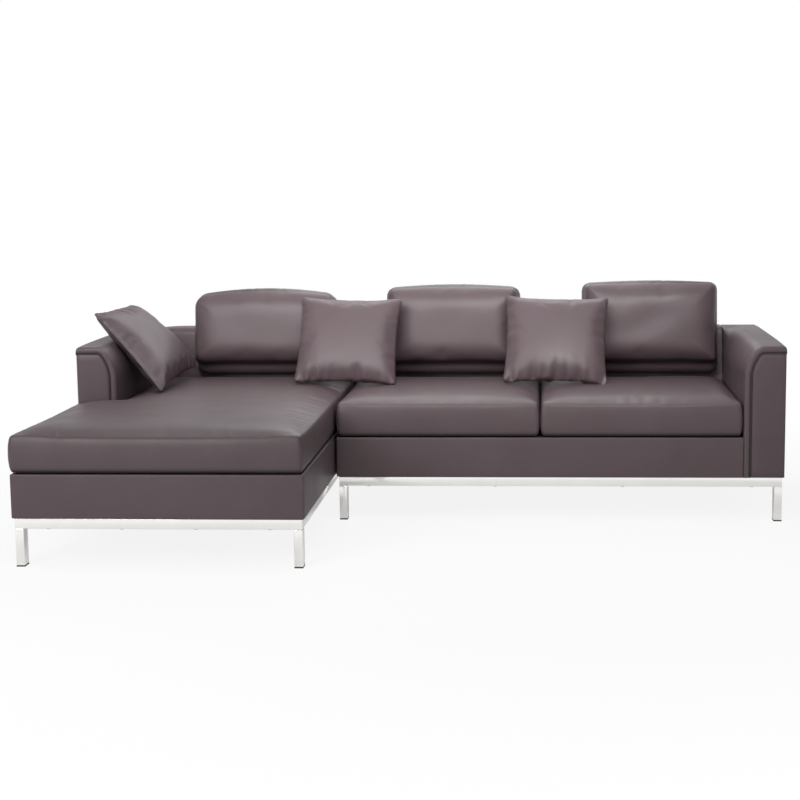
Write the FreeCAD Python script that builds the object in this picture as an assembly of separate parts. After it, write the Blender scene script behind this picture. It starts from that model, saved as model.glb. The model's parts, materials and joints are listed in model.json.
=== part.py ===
import FreeCAD, Part
import math
import os

# Corner sofa: a chaise module on the viewer's left and a two seat module on the right, both on
# chromed tube frames, with loose seat, back and scatter cushions in smooth leather.
# Millimetres, +Z up, front towards -Y, origin on the floor at the middle of the whole sofa.

Vec = FreeCAD.Vector

# Overall sizes
CHAISE_WIDTH = 1000.0
CHAISE_DEPTH = 1700.0
SOFA_WIDTH = 1690.0
SOFA_DEPTH = 918.0
MODULE_GAP = 10.0
FRAME_HEIGHT = 663.0
ARM_WIDTH = 155.0
CHAISE_ARM_SETBACK = 45.0

# Chromed frames
GLIDE_HEIGHT = 4.0
GLIDE_PLUG = 20.0
LEG_HEIGHT = 128.0
LEG_WIDTH = 30.0
LEG_DEPTH = 45.0
RAIL_HEIGHT = 36.0
RAIL_WIDTH = 30.0
TUBE_WALL = 2.0
METAL_INSET = 8.0

# Upholstered base
BASE_HEIGHT = 152.0
SKIN = 14.0
BOARD = 22.0
DUST_CLOTH = 2.0
SLAT_HEIGHT = 40.0
SLAT_WIDTH = 60.0
SLAT_PITCH = 420.0
WEB_WIDTH = 60.0
WEB_THICKNESS = 2.0
WEB_PITCH = 130.0
DECK_PAD = 18.0
PANEL_EDGE_RADIUS = 5.0

# Arms and back
TOP_ARC_RADIUS = 50.0
ARM_CURVE_WIDTH = 75.0
ARM_CURVE_HEIGHT = 125.0
OUTER_EDGE_RADIUS = 8.0
REAR_CORNER_RADIUS = 25.0
SEAM_INSET = 25.0
WELT_DIAMETER = 5.0
WELT_PROUD = 1.0
BACK_THICKNESS = 122.0
BACK_RAKE = 8.0
BACK_EDGE_RADIUS = 30.0
BACK_LIP = 45.0
ARM_BOARD = 15.0
POST = 40.0
POST_PITCH = 420.0

# Screws, connectors
SCREW_DIAMETER = 6.0
SCREW_HEAD_DIAMETER = 13.0
SCREW_HEAD_HEIGHT = 3.5
SCREW_GRIP = 45.0
SCREWS_PER_RAIL = 4
HOLE_CLEARANCE = 0.2
SCREW_END_DISTANCE = 120.0
BRACKET_LENGTH = 60.0
BRACKET_THICKNESS = 3.0
BRACKET_OVERHANG = 4.0
BRACKET_DISTANCES = (180.0, 620.0)

# Soft parts
PART_CLEARANCE = 1.0
SLIGHT_BOW = 0.5
SEAT_SIDE_HEIGHT = 122.0
SEAT_SHOULDER = 18.0
SEAT_CROWN = 25.0
SEAT_CROWN_RUN = 180.0
SEAT_CORNER_RADIUS = 16.0
NOTCH_RADIUS = 2.0
SEAT_DRAWN_IN = 5.0
SEAT_SPLIT = 775.0
CORE_MARGIN = 25.0
CORE_FLOOR = 12.0
BACK_CUSHION_SIDE = 100.0
BACK_CUSHION_SHOULDER = 16.0
BACK_CUSHION_CROWN = 75.0
BACK_CUSHION_RUN = 105.0
BACK_CUSHION_DRAWN_IN = 8.0
LEFT_CUSHION_WIDTH = 612.0
LEFT_CUSHION_HEIGHT = 337.0
LEFT_CUSHION_ARCH = 28.0
LEFT_CUSHION_CORNER = 55.0
LEFT_CUSHION_FROM_JOIN = 372.0
MIDDLE_CUSHION_WIDTH = 560.0
MIDDLE_CUSHION_HEIGHT = 363.0
MIDDLE_CUSHION_ARCH = 14.0
MIDDLE_CUSHION_CORNER = 34.0
MIDDLE_CUSHION_FROM_JOIN = 410.0
RIGHT_CUSHION_WIDTH = 560.0
RIGHT_CUSHION_HEIGHT = 378.0
RIGHT_CUSHION_ARCH = 10.0
RIGHT_CUSHION_CORNER = 28.0
RIGHT_CUSHION_FROM_ARM = 307.0
SCATTER_WIDTH = 420.0
SCATTER_HEIGHT = 392.0
SCATTER_HALF = 52.0
SCATTER_RUN = 150.0
SCATTER_DRAWN_IN = 14.0
SCATTER_FULLNESS = 8.0
SCATTER_CORNER = 10.0
SCATTER_FACE_CORNER = 30.0
SCATTER_LEAN = 32.0
SCATTER_GAP = 115.0
SCATTER_FOOT = 10.0
CENTRE_SCATTER_FROM_JOIN = 5.0
CENTRE_SCATTER_TURN = 1.5
RIGHT_SCATTER_FROM_ARM = 698.0
RIGHT_SCATTER_TURN = 1.5
ARM_SCATTER_FROM_ARM = 153.0
ARM_SCATTER_SETBACK = 136.0
ARM_SCATTER_RISE = 12.0
ARM_SCATTER_UP = Vec(-0.66, 0.02, 0.75)
ARM_SCATTER_ALONG = Vec(0.20, 0.97, 0.08)
CROWN_STEPS = 4
TOUCHING = 0.001

# Places worked out from the sizes
X_LEFT = -(CHAISE_WIDTH + MODULE_GAP + SOFA_WIDTH) / 2
X_CHAISE = X_LEFT + CHAISE_WIDTH
X_SOFA = X_CHAISE + MODULE_GAP
X_RIGHT = X_SOFA + SOFA_WIDTH
Y_BACK = CHAISE_DEPTH / 2
Y_CHAISE = Y_BACK - CHAISE_DEPTH
Y_SOFA = Y_BACK - SOFA_DEPTH
Y_CHAISE_ARM = Y_SOFA + CHAISE_ARM_SETBACK
Z_RAIL = GLIDE_HEIGHT + LEG_HEIGHT
Z_BASE = Z_RAIL + RAIL_HEIGHT
Z_DECK = Z_BASE + BASE_HEIGHT
Z_WEB = Z_DECK - DECK_PAD - WEB_THICKNESS
Z_BOARD = Z_BASE + DUST_CLOTH
Z_SEAT = Z_DECK + PART_CLEARANCE
Z_SEAT_TOP = Z_SEAT + SEAT_SIDE_HEIGHT + SEAT_CROWN
X_ARM_LEFT = X_LEFT + ARM_WIDTH
X_ARM_RIGHT = X_RIGHT - ARM_WIDTH
RAKE = math.radians(BACK_RAKE)


def back_face(height):
    """Y of the raked front face of the back at a height above the floor."""
    top = Y_BACK - BACK_THICKNESS
    return top - (FRAME_HEIGHT - height) * math.tan(RAKE)


Y_SEAT_END = back_face(Z_DECK) - PART_CLEARANCE
LEFT_CUSHION_CENTRE = X_CHAISE - LEFT_CUSHION_FROM_JOIN
MIDDLE_CUSHION_CENTRE = X_SOFA + MIDDLE_CUSHION_FROM_JOIN
RIGHT_CUSHION_CENTRE = X_ARM_RIGHT - RIGHT_CUSHION_FROM_ARM
CENTRE_SCATTER_CENTRE = X_CHAISE + CENTRE_SCATTER_FROM_JOIN
RIGHT_SCATTER_CENTRE = X_ARM_RIGHT - RIGHT_SCATTER_FROM_ARM
ARM_SCATTER_FOOT = Vec(
    X_ARM_LEFT + ARM_SCATTER_FROM_ARM,
    Y_CHAISE_ARM + ARM_SCATTER_SETBACK,
    Z_SEAT_TOP + ARM_SCATTER_RISE)


def save(shape, name):
    shape.exportStep("parts/" + name + ".step")


def box(x0, x1, y0, y1, z0, z1):
    return Part.makeBox(x1 - x0, y1 - y0, z1 - z0, Vec(x0, y0, z0))


def line(a, b):
    return Part.LineSegment(a, b).toShape()


def arc(a, b, c):
    return Part.Arc(a, b, c).toShape()


def point_on(centre, radius, degrees):
    """Point on a circle in the XZ plane, angle from +X towards +Z."""
    angle = math.radians(degrees)
    return centre + Vec(radius * math.cos(angle), 0, radius * math.sin(angle))


# Chromed frame of one module

def module_sizes(module):
    """Left, right, front and back of a module's outline."""
    if module == "chaise":
        return X_LEFT, X_CHAISE, Y_CHAISE, Y_BACK
    return X_SOFA, X_RIGHT, Y_SOFA, Y_BACK


def metal_outline(module):
    x0, x1, y0, y1 = module_sizes(module)
    return x0 + METAL_INSET, x1 - METAL_INSET, y0 + METAL_INSET, y1 - METAL_INSET


def closed_tube(x0, x1, y0, y1, z0, z1):
    """Box section with a wall all round and capped ends."""
    outer = box(x0, x1, y0, y1, z0, z1)
    wall = TUBE_WALL
    inner = box(x0 + wall, x1 - wall, y0 + wall, y1 - wall, z0 + wall, z1 - wall)
    return outer.cut(inner)


def spread(first, last, count):
    """Evenly spaced places from first to last."""
    step = (last - first) / (count - 1)
    return [first + step * index for index in range(count)]


def screw_places(module):
    """X places and the two Y lines of the screws that hold the wooden frame."""
    x0, x1, y0, y1 = module_sizes(module)
    columns = spread(x0 + SCREW_END_DISTANCE, x1 - SCREW_END_DISTANCE, SCREWS_PER_RAIL)
    middle = SKIN + BOARD / 2
    return [(x, y) for y in (y0 + middle, y1 - middle) for x in columns]


def screw(x, y, z_head, shank):
    """Screw from below: a flat round head under z_head and a shank above it."""
    low = Vec(x, y, z_head - SCREW_HEAD_HEIGHT)
    head = Part.makeCylinder(SCREW_HEAD_DIAMETER / 2, SCREW_HEAD_HEIGHT, low)
    stem = Part.makeCylinder(SCREW_DIAMETER / 2, shank, Vec(x, y, z_head))
    return head.fuse(stem).removeSplitter()


def screw_hole(x, y, z0, z1):
    return Part.makeCylinder(SCREW_DIAMETER / 2 + HOLE_CLEARANCE, z1 - z0, Vec(x, y, z0))


def frame_holes(module):
    top = Z_RAIL + RAIL_HEIGHT + SCREW_GRIP + HOLE_CLEARANCE
    return [screw_hole(x, y, Z_RAIL, top) for x, y in screw_places(module)]


def frame_screws(module):
    shank = RAIL_HEIGHT + SCREW_GRIP
    return Part.makeCompound([screw(x, y, Z_RAIL, shank) for x, y in screw_places(module)])


def bracket_rows():
    return [Y_BACK - distance for distance in BRACKET_DISTANCES]


def bracket_columns():
    """Middles of the two neighbouring side tubes that a bracket joins."""
    inward = METAL_INSET + RAIL_WIDTH / 2
    return X_CHAISE - inward, X_SOFA + inward


def bracket_holes():
    wall_top = Z_RAIL + TUBE_WALL
    bottom = Z_RAIL - BRACKET_THICKNESS
    return [screw_hole(x, y, bottom, wall_top) for x in bracket_columns() for y in bracket_rows()]


def metal_rails(module):
    """Front, back, left and right tubes of a module's frame, side tubes butting the long ones."""
    x0, x1, y0, y1 = metal_outline(module)
    z0, z1 = Z_RAIL, Z_BASE
    rails = {
        "front": closed_tube(x0, x1, y0, y0 + RAIL_WIDTH, z0, z1),
        "back": closed_tube(x0, x1, y1 - RAIL_WIDTH, y1, z0, z1),
        "left": closed_tube(x0, x0 + RAIL_WIDTH, y0 + RAIL_WIDTH, y1 - RAIL_WIDTH, z0, z1),
        "right": closed_tube(x1 - RAIL_WIDTH, x1, y0 + RAIL_WIDTH, y1 - RAIL_WIDTH, z0, z1),
    }
    holes = frame_holes(module)
    rails["front"] = rails["front"].cut(holes)
    rails["back"] = rails["back"].cut(holes)
    joined = "right" if module == "chaise" else "left"
    rails[joined] = rails[joined].cut(bracket_holes())
    return rails


def leg_corners(module):
    """Low corner in X and Y of each leg."""
    x0, x1, y0, y1 = metal_outline(module)
    return [(x, y) for x in (x0, x1 - LEG_WIDTH) for y in (y0, y1 - LEG_DEPTH)]


def legs(module):
    tubes = []
    for x, y in leg_corners(module):
        outer = box(x, x + LEG_WIDTH, y, y + LEG_DEPTH, GLIDE_HEIGHT, Z_RAIL)
        wall = TUBE_WALL
        bore = box(x + wall, x + LEG_WIDTH - wall, y + wall, y + LEG_DEPTH - wall, GLIDE_HEIGHT, Z_RAIL)
        tubes.append(outer.cut(bore))
    return Part.makeCompound(tubes)


def glides(module):
    """Plastic feet: a plate under each leg with a plug that fills the tube's end."""
    feet = []
    wall = TUBE_WALL
    for x, y in leg_corners(module):
        plate = box(x, x + LEG_WIDTH, y, y + LEG_DEPTH, 0, GLIDE_HEIGHT)
        plug_top = GLIDE_HEIGHT + GLIDE_PLUG
        plug = box(x + wall, x + LEG_WIDTH - wall, y + wall, y + LEG_DEPTH - wall, GLIDE_HEIGHT, plug_top)
        feet.append(plate.fuse(plug).removeSplitter())
    return Part.makeCompound(feet)


def module_brackets():
    """Flat plates under the neighbouring side tubes, joining the two modules."""
    x0, x1 = bracket_columns()
    reach = RAIL_WIDTH / 2 - BRACKET_OVERHANG
    plates = []
    for y in bracket_rows():
        half = BRACKET_LENGTH / 2
        plates.append(box(x0 - reach, x1 + reach, y - half, y + half, Z_RAIL - BRACKET_THICKNESS, Z_RAIL))
    return Part.makeCompound([plate.cut(bracket_holes()) for plate in plates])


def module_bolts():
    shank = BRACKET_THICKNESS + TUBE_WALL
    head = Z_RAIL - BRACKET_THICKNESS
    return Part.makeCompound([screw(x, y, head, shank) for x in bracket_columns() for y in bracket_rows()])


# Wooden base of one module

def inner_outline(module):
    x0, x1, y0, y1 = module_sizes(module)
    return x0 + SKIN, x1 - SKIN, y0 + SKIN, y1 - SKIN


def end_boards(module):
    x0, x1, y0, y1 = inner_outline(module)
    front = box(x0, x1, y0, y0 + BOARD, Z_BOARD, Z_WEB)
    back = box(x0, x1, y1 - BOARD, y1, Z_BOARD, Z_WEB)
    holes = frame_holes(module)
    return Part.makeCompound([front.cut(holes), back.cut(holes)])


def side_boards(module):
    x0, x1, y0, y1 = inner_outline(module)
    left = box(x0, x0 + BOARD, y0 + BOARD, y1 - BOARD, Z_BOARD, Z_WEB)
    right = box(x1 - BOARD, x1, y0 + BOARD, y1 - BOARD, Z_BOARD, Z_WEB)
    return Part.makeCompound([left, right])


def repeats(first, last, pitch):
    """Middles of equal bays about pitch wide between first and last."""
    count = max(1, round((last - first) / pitch))
    bay = (last - first) / count
    return [first + bay * (index + 0.5) for index in range(count)]


def slats(module):
    """Boards from side to side that stiffen the frame."""
    x0, x1, y0, y1 = inner_outline(module)
    rows = repeats(y0 + BOARD, y1 - BOARD, SLAT_PITCH)
    half = SLAT_WIDTH / 2
    top = Z_BOARD + SLAT_HEIGHT
    return Part.makeCompound([box(x0 + BOARD, x1 - BOARD, y - half, y + half, Z_BOARD, top) for y in rows])


def seat_limits(module):
    """Left and right limits of the seat beside the arm."""
    if module == "chaise":
        return X_ARM_LEFT, X_CHAISE
    return X_SOFA, X_ARM_RIGHT


def webbing(module):
    """Elastic bands from the front board to the back board."""
    x0, x1 = seat_limits(module)
    y0, y1 = inner_outline(module)[2:]
    half = WEB_WIDTH / 2
    top = Z_WEB + WEB_THICKNESS
    columns = repeats(x0, x1, WEB_PITCH)
    return Part.makeCompound([box(x - half, x + half, y0, y1, Z_WEB, top) for x in columns])


def deck_pad(module):
    """Thin pad over the webbing, under the seat cushions."""
    x0, x1, y0, y1 = inner_outline(module)
    z0 = Z_WEB + WEB_THICKNESS
    end = Y_SEAT_END
    if module == "sofa":
        return box(x0, X_ARM_RIGHT, y0, end, z0, Z_DECK)
    beside = box(X_ARM_LEFT, x1, y0, end, z0, Z_DECK)
    before = box(x0, X_ARM_LEFT, y0, Y_CHAISE_ARM, z0, Z_DECK)
    return beside.fuse(before).removeSplitter()


def dust_cloth(module):
    x0, x1, y0, y1 = inner_outline(module)
    return box(x0, x1, y0, y1, Z_BASE, Z_BOARD).cut(frame_holes(module))


def lies_on(edge, axis, place):
    """Whether both ends of an edge are at one place along an axis."""
    return all(abs(getattr(vertex.Point, axis) - place) < TOUCHING for vertex in edge.Vertexes)


def eased_front(panel, y):
    """Round the long upper and lower edges of a panel's front face."""
    low = panel.BoundBox.ZMin
    high = panel.BoundBox.ZMax
    front = [edge for edge in panel.Edges if lies_on(edge, "y", y)]
    long_edges = [edge for edge in front if lies_on(edge, "z", low) or lies_on(edge, "z", high)]
    return panel.makeFillet(PANEL_EDGE_RADIUS, long_edges)


def base_panels():
    """Padded leather panels round the two bases and up the back of each."""
    rear_top = FRAME_HEIGHT - BACK_LIP
    gap = PART_CLEARANCE
    chaise_front = box(X_LEFT, X_CHAISE, Y_CHAISE, Y_CHAISE + SKIN, Z_BASE, Z_DECK)
    sofa_front = box(X_SOFA, X_ARM_RIGHT - gap, Y_SOFA, Y_SOFA + SKIN, Z_BASE, Z_DECK)
    inner_y0 = Y_CHAISE + SKIN
    inner_y1 = Y_BACK - SKIN
    panels = {
        "chaise_front_panel": eased_front(chaise_front, Y_CHAISE),
        "chaise_outer_panel": box(X_LEFT, X_LEFT + SKIN, inner_y0, Y_CHAISE_ARM - gap, Z_BASE, Z_DECK),
        "chaise_inner_panel": box(X_CHAISE - SKIN, X_CHAISE, inner_y0, inner_y1, Z_BASE, Z_DECK),
        "chaise_rear_panel": box(X_ARM_LEFT, X_CHAISE, inner_y1, Y_BACK, Z_BASE, rear_top),
        "sofa_front_panel": eased_front(sofa_front, Y_SOFA),
        "sofa_inner_panel": box(X_SOFA, X_SOFA + SKIN, Y_SOFA + SKIN, inner_y1, Z_BASE, Z_DECK),
        "sofa_rear_panel": box(X_SOFA, X_ARM_RIGHT, inner_y1, Y_BACK, Z_BASE, rear_top),
    }
    return panels


# Arms

def outer_side(side):
    """X of an arm's outer face: side is 1 for the right arm and -1 for the left."""
    return X_RIGHT if side > 0 else X_LEFT


def facing_in(side, degrees):
    """Angle on the inner side of an arm, given as on the left arm."""
    return 180 - degrees if side > 0 else degrees


def arm_curve(side, inset):
    """Ends, joint and centres of the two tangent arcs from the arm's top to its inner face.

    A small arc of TOP_ARC_RADIUS leaves the top level and a larger one meets the inner face
    upright; the larger radius follows from the curve's width and height.
    """
    width, height, small = ARM_CURVE_WIDTH, ARM_CURVE_HEIGHT, TOP_ARC_RADIUS
    large = (width ** 2 + height ** 2 - 2 * height * small) / (2 * (width - small))
    inner_x = outer_side(side) - side * ARM_WIDTH
    small_centre = Vec(inner_x + side * width, 0, FRAME_HEIGHT - small)
    large_centre = Vec(inner_x + side * large, 0, FRAME_HEIGHT - height)
    joint_angle = math.degrees(math.atan2(height - small, large - width))
    return small_centre, small - inset, large_centre, large - inset, joint_angle


def arm_face(side, inset, outer_inset, z_low):
    """Outline of an arm seen from the front, moved in from its top and inner face by inset."""
    outer_x = outer_side(side) - side * outer_inset
    inner_x = outer_side(side) - side * (ARM_WIDTH - inset)
    small_centre, small, large_centre, large, joint = arm_curve(side, inset)
    top = FRAME_HEIGHT - inset
    level = point_on(small_centre, small, 90)
    small_middle = point_on(small_centre, small, facing_in(side, (90 + joint) / 2))
    meet = point_on(small_centre, small, facing_in(side, joint))
    large_middle = point_on(large_centre, large, facing_in(side, joint / 2))
    upright = point_on(large_centre, large, facing_in(side, 0))
    edge = OUTER_EDGE_RADIUS if outer_inset == 0 and inset == 0 else 0
    low_outer = Vec(outer_x, 0, z_low)
    low_inner = Vec(inner_x, 0, z_low)
    edges = [line(low_inner, upright), arc(upright, large_middle, meet), arc(meet, small_middle, level)]
    if edge:
        start = Vec(outer_x - side * edge, 0, top)
        end = Vec(outer_x, 0, top - edge)
        middle = point_on(Vec(outer_x - side * edge, 0, top - edge), edge, facing_in(side, 135))
        edges += [line(level, start), arc(start, middle, end), line(end, low_outer)]
    else:
        corner = Vec(outer_x, 0, top)
        edges += [line(level, corner), line(corner, low_outer)]
    edges.append(line(low_outer, low_inner))
    return Part.Face(Part.Wire(edges))


def arm_block(side, inset, outer_inset, y0, y1, z_low):
    face = arm_face(side, inset, outer_inset, z_low)
    face.translate(Vec(0, y0, 0))
    return face.extrude(Vec(0, y1 - y0, 0))


def arm_band(side, t0, t1, y0, y1, z0, z1):
    """Box in an arm between two distances from its outer side."""
    a = outer_side(side) - side * t0
    b = outer_side(side) - side * t1
    return box(min(a, b), max(a, b), y0, y1, z0, z1)


def arm_cover(side, y_front, z_front):
    """Padded leather shell of an arm, open below and behind the front panel."""
    outer = arm_block(side, 0, 0, y_front, Y_BACK, Z_BASE)
    rear_edges = [edge for edge in outer.Edges
                  if lies_on(edge, "x", outer_side(side)) and lies_on(edge, "y", Y_BACK)]
    outer = outer.makeFillet(REAR_CORNER_RADIUS, rear_edges)
    inner_y0 = y_front + SKIN
    inner_y1 = Y_BACK - SKIN
    cavity = arm_block(side, SKIN, SKIN, inner_y0, inner_y1, Z_BASE)
    under_seat = arm_band(side, ARM_WIDTH - SKIN, ARM_WIDTH, inner_y0, inner_y1, Z_BASE, Z_DECK)
    opening = arm_block(side, SEAM_INSET, 0, y_front, inner_y0, Z_BASE)
    cover = outer.cut([cavity, under_seat, opening])
    if z_front > Z_BASE:
        cover = cover.cut(arm_band(side, SKIN, ARM_WIDTH, y_front, inner_y0, Z_BASE, z_front))
    return cover


def arm_front_panel(side, y_front, z_front):
    """Padded panel set into the front of an arm, clear of the welt round it."""
    return arm_block(side, SEAM_INSET + WELT_DIAMETER, 0, y_front, y_front + SKIN, z_front)


def arm_welt(side, y_front, z_front):
    """Piping in the seam between the front panel and the shell."""
    inset = SEAM_INSET + WELT_DIAMETER / 2
    small_centre, small, large_centre, large, joint = arm_curve(side, inset)
    upright = point_on(large_centre, large, facing_in(side, 0))
    foot = Vec(upright.x, 0, z_front)
    large_middle = point_on(large_centre, large, facing_in(side, joint / 2))
    meet = point_on(small_centre, small, facing_in(side, joint))
    small_middle = point_on(small_centre, small, facing_in(side, (90 + joint) / 2))
    level = point_on(small_centre, small, 90)
    end = Vec(outer_side(side), 0, level.z)
    path = Part.Wire([
        line(foot, upright),
        arc(upright, large_middle, meet),
        arc(meet, small_middle, level),
        line(level, end),
    ])
    circle = Part.Wire(Part.makeCircle(WELT_DIAMETER / 2, foot, Vec(0, 0, 1)))
    tube = path.makePipeShell([circle], True, False)
    tube.translate(Vec(0, y_front + WELT_DIAMETER / 2 - WELT_PROUD, 0))
    return tube


def arm_frame(side, y_front):
    """Boards and posts inside an arm, standing on the wooden base."""
    y0 = y_front + SKIN
    y1 = Y_BACK - SKIN
    z0 = Z_WEB
    inner_top = FRAME_HEIGHT - ARM_CURVE_HEIGHT
    top = FRAME_HEIGHT - SKIN
    inside = ARM_WIDTH - SKIN
    curve_start = ARM_WIDTH - ARM_CURVE_WIDTH
    outer_board = arm_band(side, SKIN, SKIN + ARM_BOARD, y0, y1, z0, top)
    inner_board = arm_band(side, inside - ARM_BOARD, inside, y0, y1, Z_DECK, inner_top)
    top_board = arm_band(side, SKIN + ARM_BOARD, curve_start, y0, y1, top - ARM_BOARD, top)
    post_side = SKIN + ARM_BOARD
    posts = []
    for y in (y0, y1 - POST):
        posts.append(arm_band(side, post_side, post_side + POST, y, y + POST, z0, top - ARM_BOARD))
    return Part.makeCompound([outer_board, inner_board, top_board] + posts)


# Back

def back_profile(inset, rear_inset, z_low):
    """Side outline of the back: raked front face, rounded front top edge, level top."""
    top = FRAME_HEIGHT - inset
    shift = inset / math.cos(RAKE)

    def front(height):
        return back_face(height) + shift

    radius = BACK_EDGE_RADIUS - inset
    tangent = radius * math.tan((math.pi / 2 - RAKE) / 2)
    corner = Vec(0, front(top), top)
    down = Vec(0, -math.sin(RAKE), -math.cos(RAKE))
    low_tangent = corner + down * tangent
    top_tangent = corner + Vec(0, tangent, 0)
    centre = top_tangent + Vec(0, 0, -radius)
    middle_way = corner - centre
    middle_way.normalize()
    middle = centre + middle_way * radius
    rear = Y_BACK - rear_inset
    foot = Vec(0, front(z_low), z_low)
    return Part.Face(Part.Wire([
        line(foot, low_tangent),
        arc(low_tangent, middle, top_tangent),
        line(top_tangent, Vec(0, rear, top)),
        line(Vec(0, rear, top), Vec(0, rear, z_low)),
        line(Vec(0, rear, z_low), foot),
    ]))


def back_block(inset, rear_inset, x0, x1, z_low):
    face = back_profile(inset, rear_inset, z_low)
    face.translate(Vec(x0, 0, 0))
    return face.extrude(Vec(x1 - x0, 0, 0))


def back_limits(module):
    """Left and right ends of a back, and of the hollow in it, closed at the modules' gap."""
    if module == "chaise":
        return X_ARM_LEFT, X_CHAISE, X_ARM_LEFT, X_CHAISE - SKIN
    return X_SOFA, X_ARM_RIGHT, X_SOFA + SKIN, X_ARM_RIGHT


def back_cover(module):
    x0, x1, hollow_x0, hollow_x1 = back_limits(module)
    outer = back_block(0, 0, x0, x1, Z_DECK)
    cavity = back_block(SKIN, SKIN, hollow_x0, hollow_x1, Z_DECK)
    rear_opening = box(x0, x1, Y_BACK - SKIN, Y_BACK, Z_DECK, FRAME_HEIGHT - BACK_LIP)
    return outer.cut([cavity, rear_opening])


def back_frame(module):
    """Posts, top rail and lower rail inside a back."""
    x0, x1 = back_limits(module)[2:]
    y1 = Y_BACK - SKIN
    y0 = y1 - POST
    top = FRAME_HEIGHT - SKIN
    rail_top = box(x0, x1, y0, y1, top - BOARD, top)
    posts = []
    for x in repeats(x0, x1, POST_PITCH):
        posts.append(box(x - POST / 2, x + POST / 2, y0, y1, Z_DECK, top - BOARD))
    rail_low = box(x0, x1, y0, y1, Z_WEB + WEB_THICKNESS, Z_DECK)
    return Part.makeCompound([rail_top, rail_low] + posts)


# Soft forms

def soft_outline(corners, inset, radius, bows, level):
    """Closed wire round a right-angled outline, moved in by inset, with rounded corners.

    Each side is an arc whose middle stands out by its bow, or in where the bow is negative.
    """
    up = Vec(0, 0, 1)
    count = len(corners)
    points = [Vec(x, y, level) for x, y in corners]
    ways = []
    for index in range(count):
        way = points[(index + 1) % count] - points[index]
        way.normalize()
        ways.append(way)
    moved = []
    radii = []
    for index in range(count):
        before, way = ways[index - 1], ways[index]
        moved.append(points[index] + (up.cross(before) + up.cross(way)) * inset)
        radii.append(radius if before.cross(way).z > 0 else NOTCH_RADIUS)
    edges = []
    for index in range(count):
        following = (index + 1) % count
        way, after = ways[index], ways[following]
        corner, turn = moved[following], radii[following]
        start = moved[index] + way * radii[index]
        end = corner - way * turn
        middle = (start + end) * 0.5 + way.cross(up) * bows[index]
        edges.append(arc(start, middle, end))
        centre = corner + (after - way) * turn
        turn_middle = centre + (way - after) * (turn / math.sqrt(2))
        edges.append(arc(end, turn_middle, corner + after * turn))
    return Part.Wire(edges)


def soft_loft(corners, levels):
    """Closed form through outlines given as level, inset, corner radius and bows.

    Straight bands join one outline to the next, so the form never swings outside them.
    """
    wires = [soft_outline(corners, inset, radius, bows, level) for level, inset, radius, bows in levels]
    return Part.makeLoft(wires, True, True)


def crown_levels(start, rise, first_inset, run):
    """Quarter ellipse from a side wall to a level top: height by sine, inset by cosine."""
    steps = []
    for step in range(1, CROWN_STEPS + 1):
        angle = math.pi / 2 * step / CROWN_STEPS
        steps.append((start + rise * math.sin(angle), first_inset + run * (1 - math.cos(angle))))
    return steps


def rectangle(x0, x1, y0, y1):
    return [(x0, y0), (x1, y0), (x1, y1), (x0, y1)]


def seat_outlines():
    """Plan outline of each seat cushion, with the clearances between them."""
    gap = PART_CLEARANCE
    arm_side = X_ARM_LEFT + gap
    arm_front = Y_CHAISE_ARM - WELT_PROUD - gap
    chaise = [(X_LEFT, Y_CHAISE), (X_CHAISE, Y_CHAISE), (X_CHAISE, Y_SEAT_END),
              (arm_side, Y_SEAT_END), (arm_side, arm_front), (X_LEFT, arm_front)]
    split = X_SOFA + SEAT_SPLIT
    middle = rectangle(X_SOFA, split - gap, Y_SOFA, Y_SEAT_END)
    right = rectangle(split + gap, X_ARM_RIGHT - gap, Y_SOFA, Y_SEAT_END)
    return {"chaise": chaise, "middle": middle, "right": right}


def seat_form(corners):
    """Crowned block: sides drawn in at the lower and upper seams, top rising to a flat middle."""
    bows = [SLIGHT_BOW] * len(corners)
    steps = [
        (0, SEAT_DRAWN_IN),
        (SEAT_SHOULDER, 0),
        (SEAT_SIDE_HEIGHT - SEAT_SHOULDER, 0),
        (SEAT_SIDE_HEIGHT, SEAT_DRAWN_IN),
    ]
    steps += crown_levels(SEAT_SIDE_HEIGHT, SEAT_CROWN, SEAT_DRAWN_IN, SEAT_CROWN_RUN)
    form = soft_loft(corners, [(level, inset, SEAT_CORNER_RADIUS, bows) for level, inset in steps])
    form.translate(Vec(0, 0, Z_SEAT))
    return form


def seat_core(corners):
    """Foam block inside a seat cushion, following its outline."""
    z0 = Z_SEAT + CORE_FLOOR
    z1 = Z_SEAT + SEAT_SIDE_HEIGHT
    bows = [SLIGHT_BOW] * len(corners)
    wire = soft_outline(corners, CORE_MARGIN, SEAT_CORNER_RADIUS, bows, z0)
    return Part.Face(wire).extrude(Vec(0, 0, z1 - z0))


def back_cushion(width, height, arch, corner, centre):
    """Back cushion: flat behind, sides drawn in at the seams, crowned front, arched top.

    It is made lying on its back and then stood on the seat against the raked back.
    """
    corners = rectangle(-width / 2, width / 2, 0, height)
    bows = [SLIGHT_BOW, SLIGHT_BOW, arch, SLIGHT_BOW]
    steps = [(0, BACK_CUSHION_DRAWN_IN), (BACK_CUSHION_SHOULDER, 0), (BACK_CUSHION_SIDE, 0)]
    steps += crown_levels(BACK_CUSHION_SIDE, BACK_CUSHION_CROWN, 0, BACK_CUSHION_RUN)
    form = soft_loft(corners, [(level, inset, corner, bows) for level, inset in steps])
    form.rotate(Vec(0, 0, 0), Vec(1, 0, 0), 90)
    form.rotate(Vec(0, 0, 0), Vec(1, 0, 0), -BACK_RAKE)
    lift = Z_SEAT_TOP + PART_CLEARANCE
    form.translate(Vec(centre, back_face(lift) - PART_CLEARANCE, lift))
    return form


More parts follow.
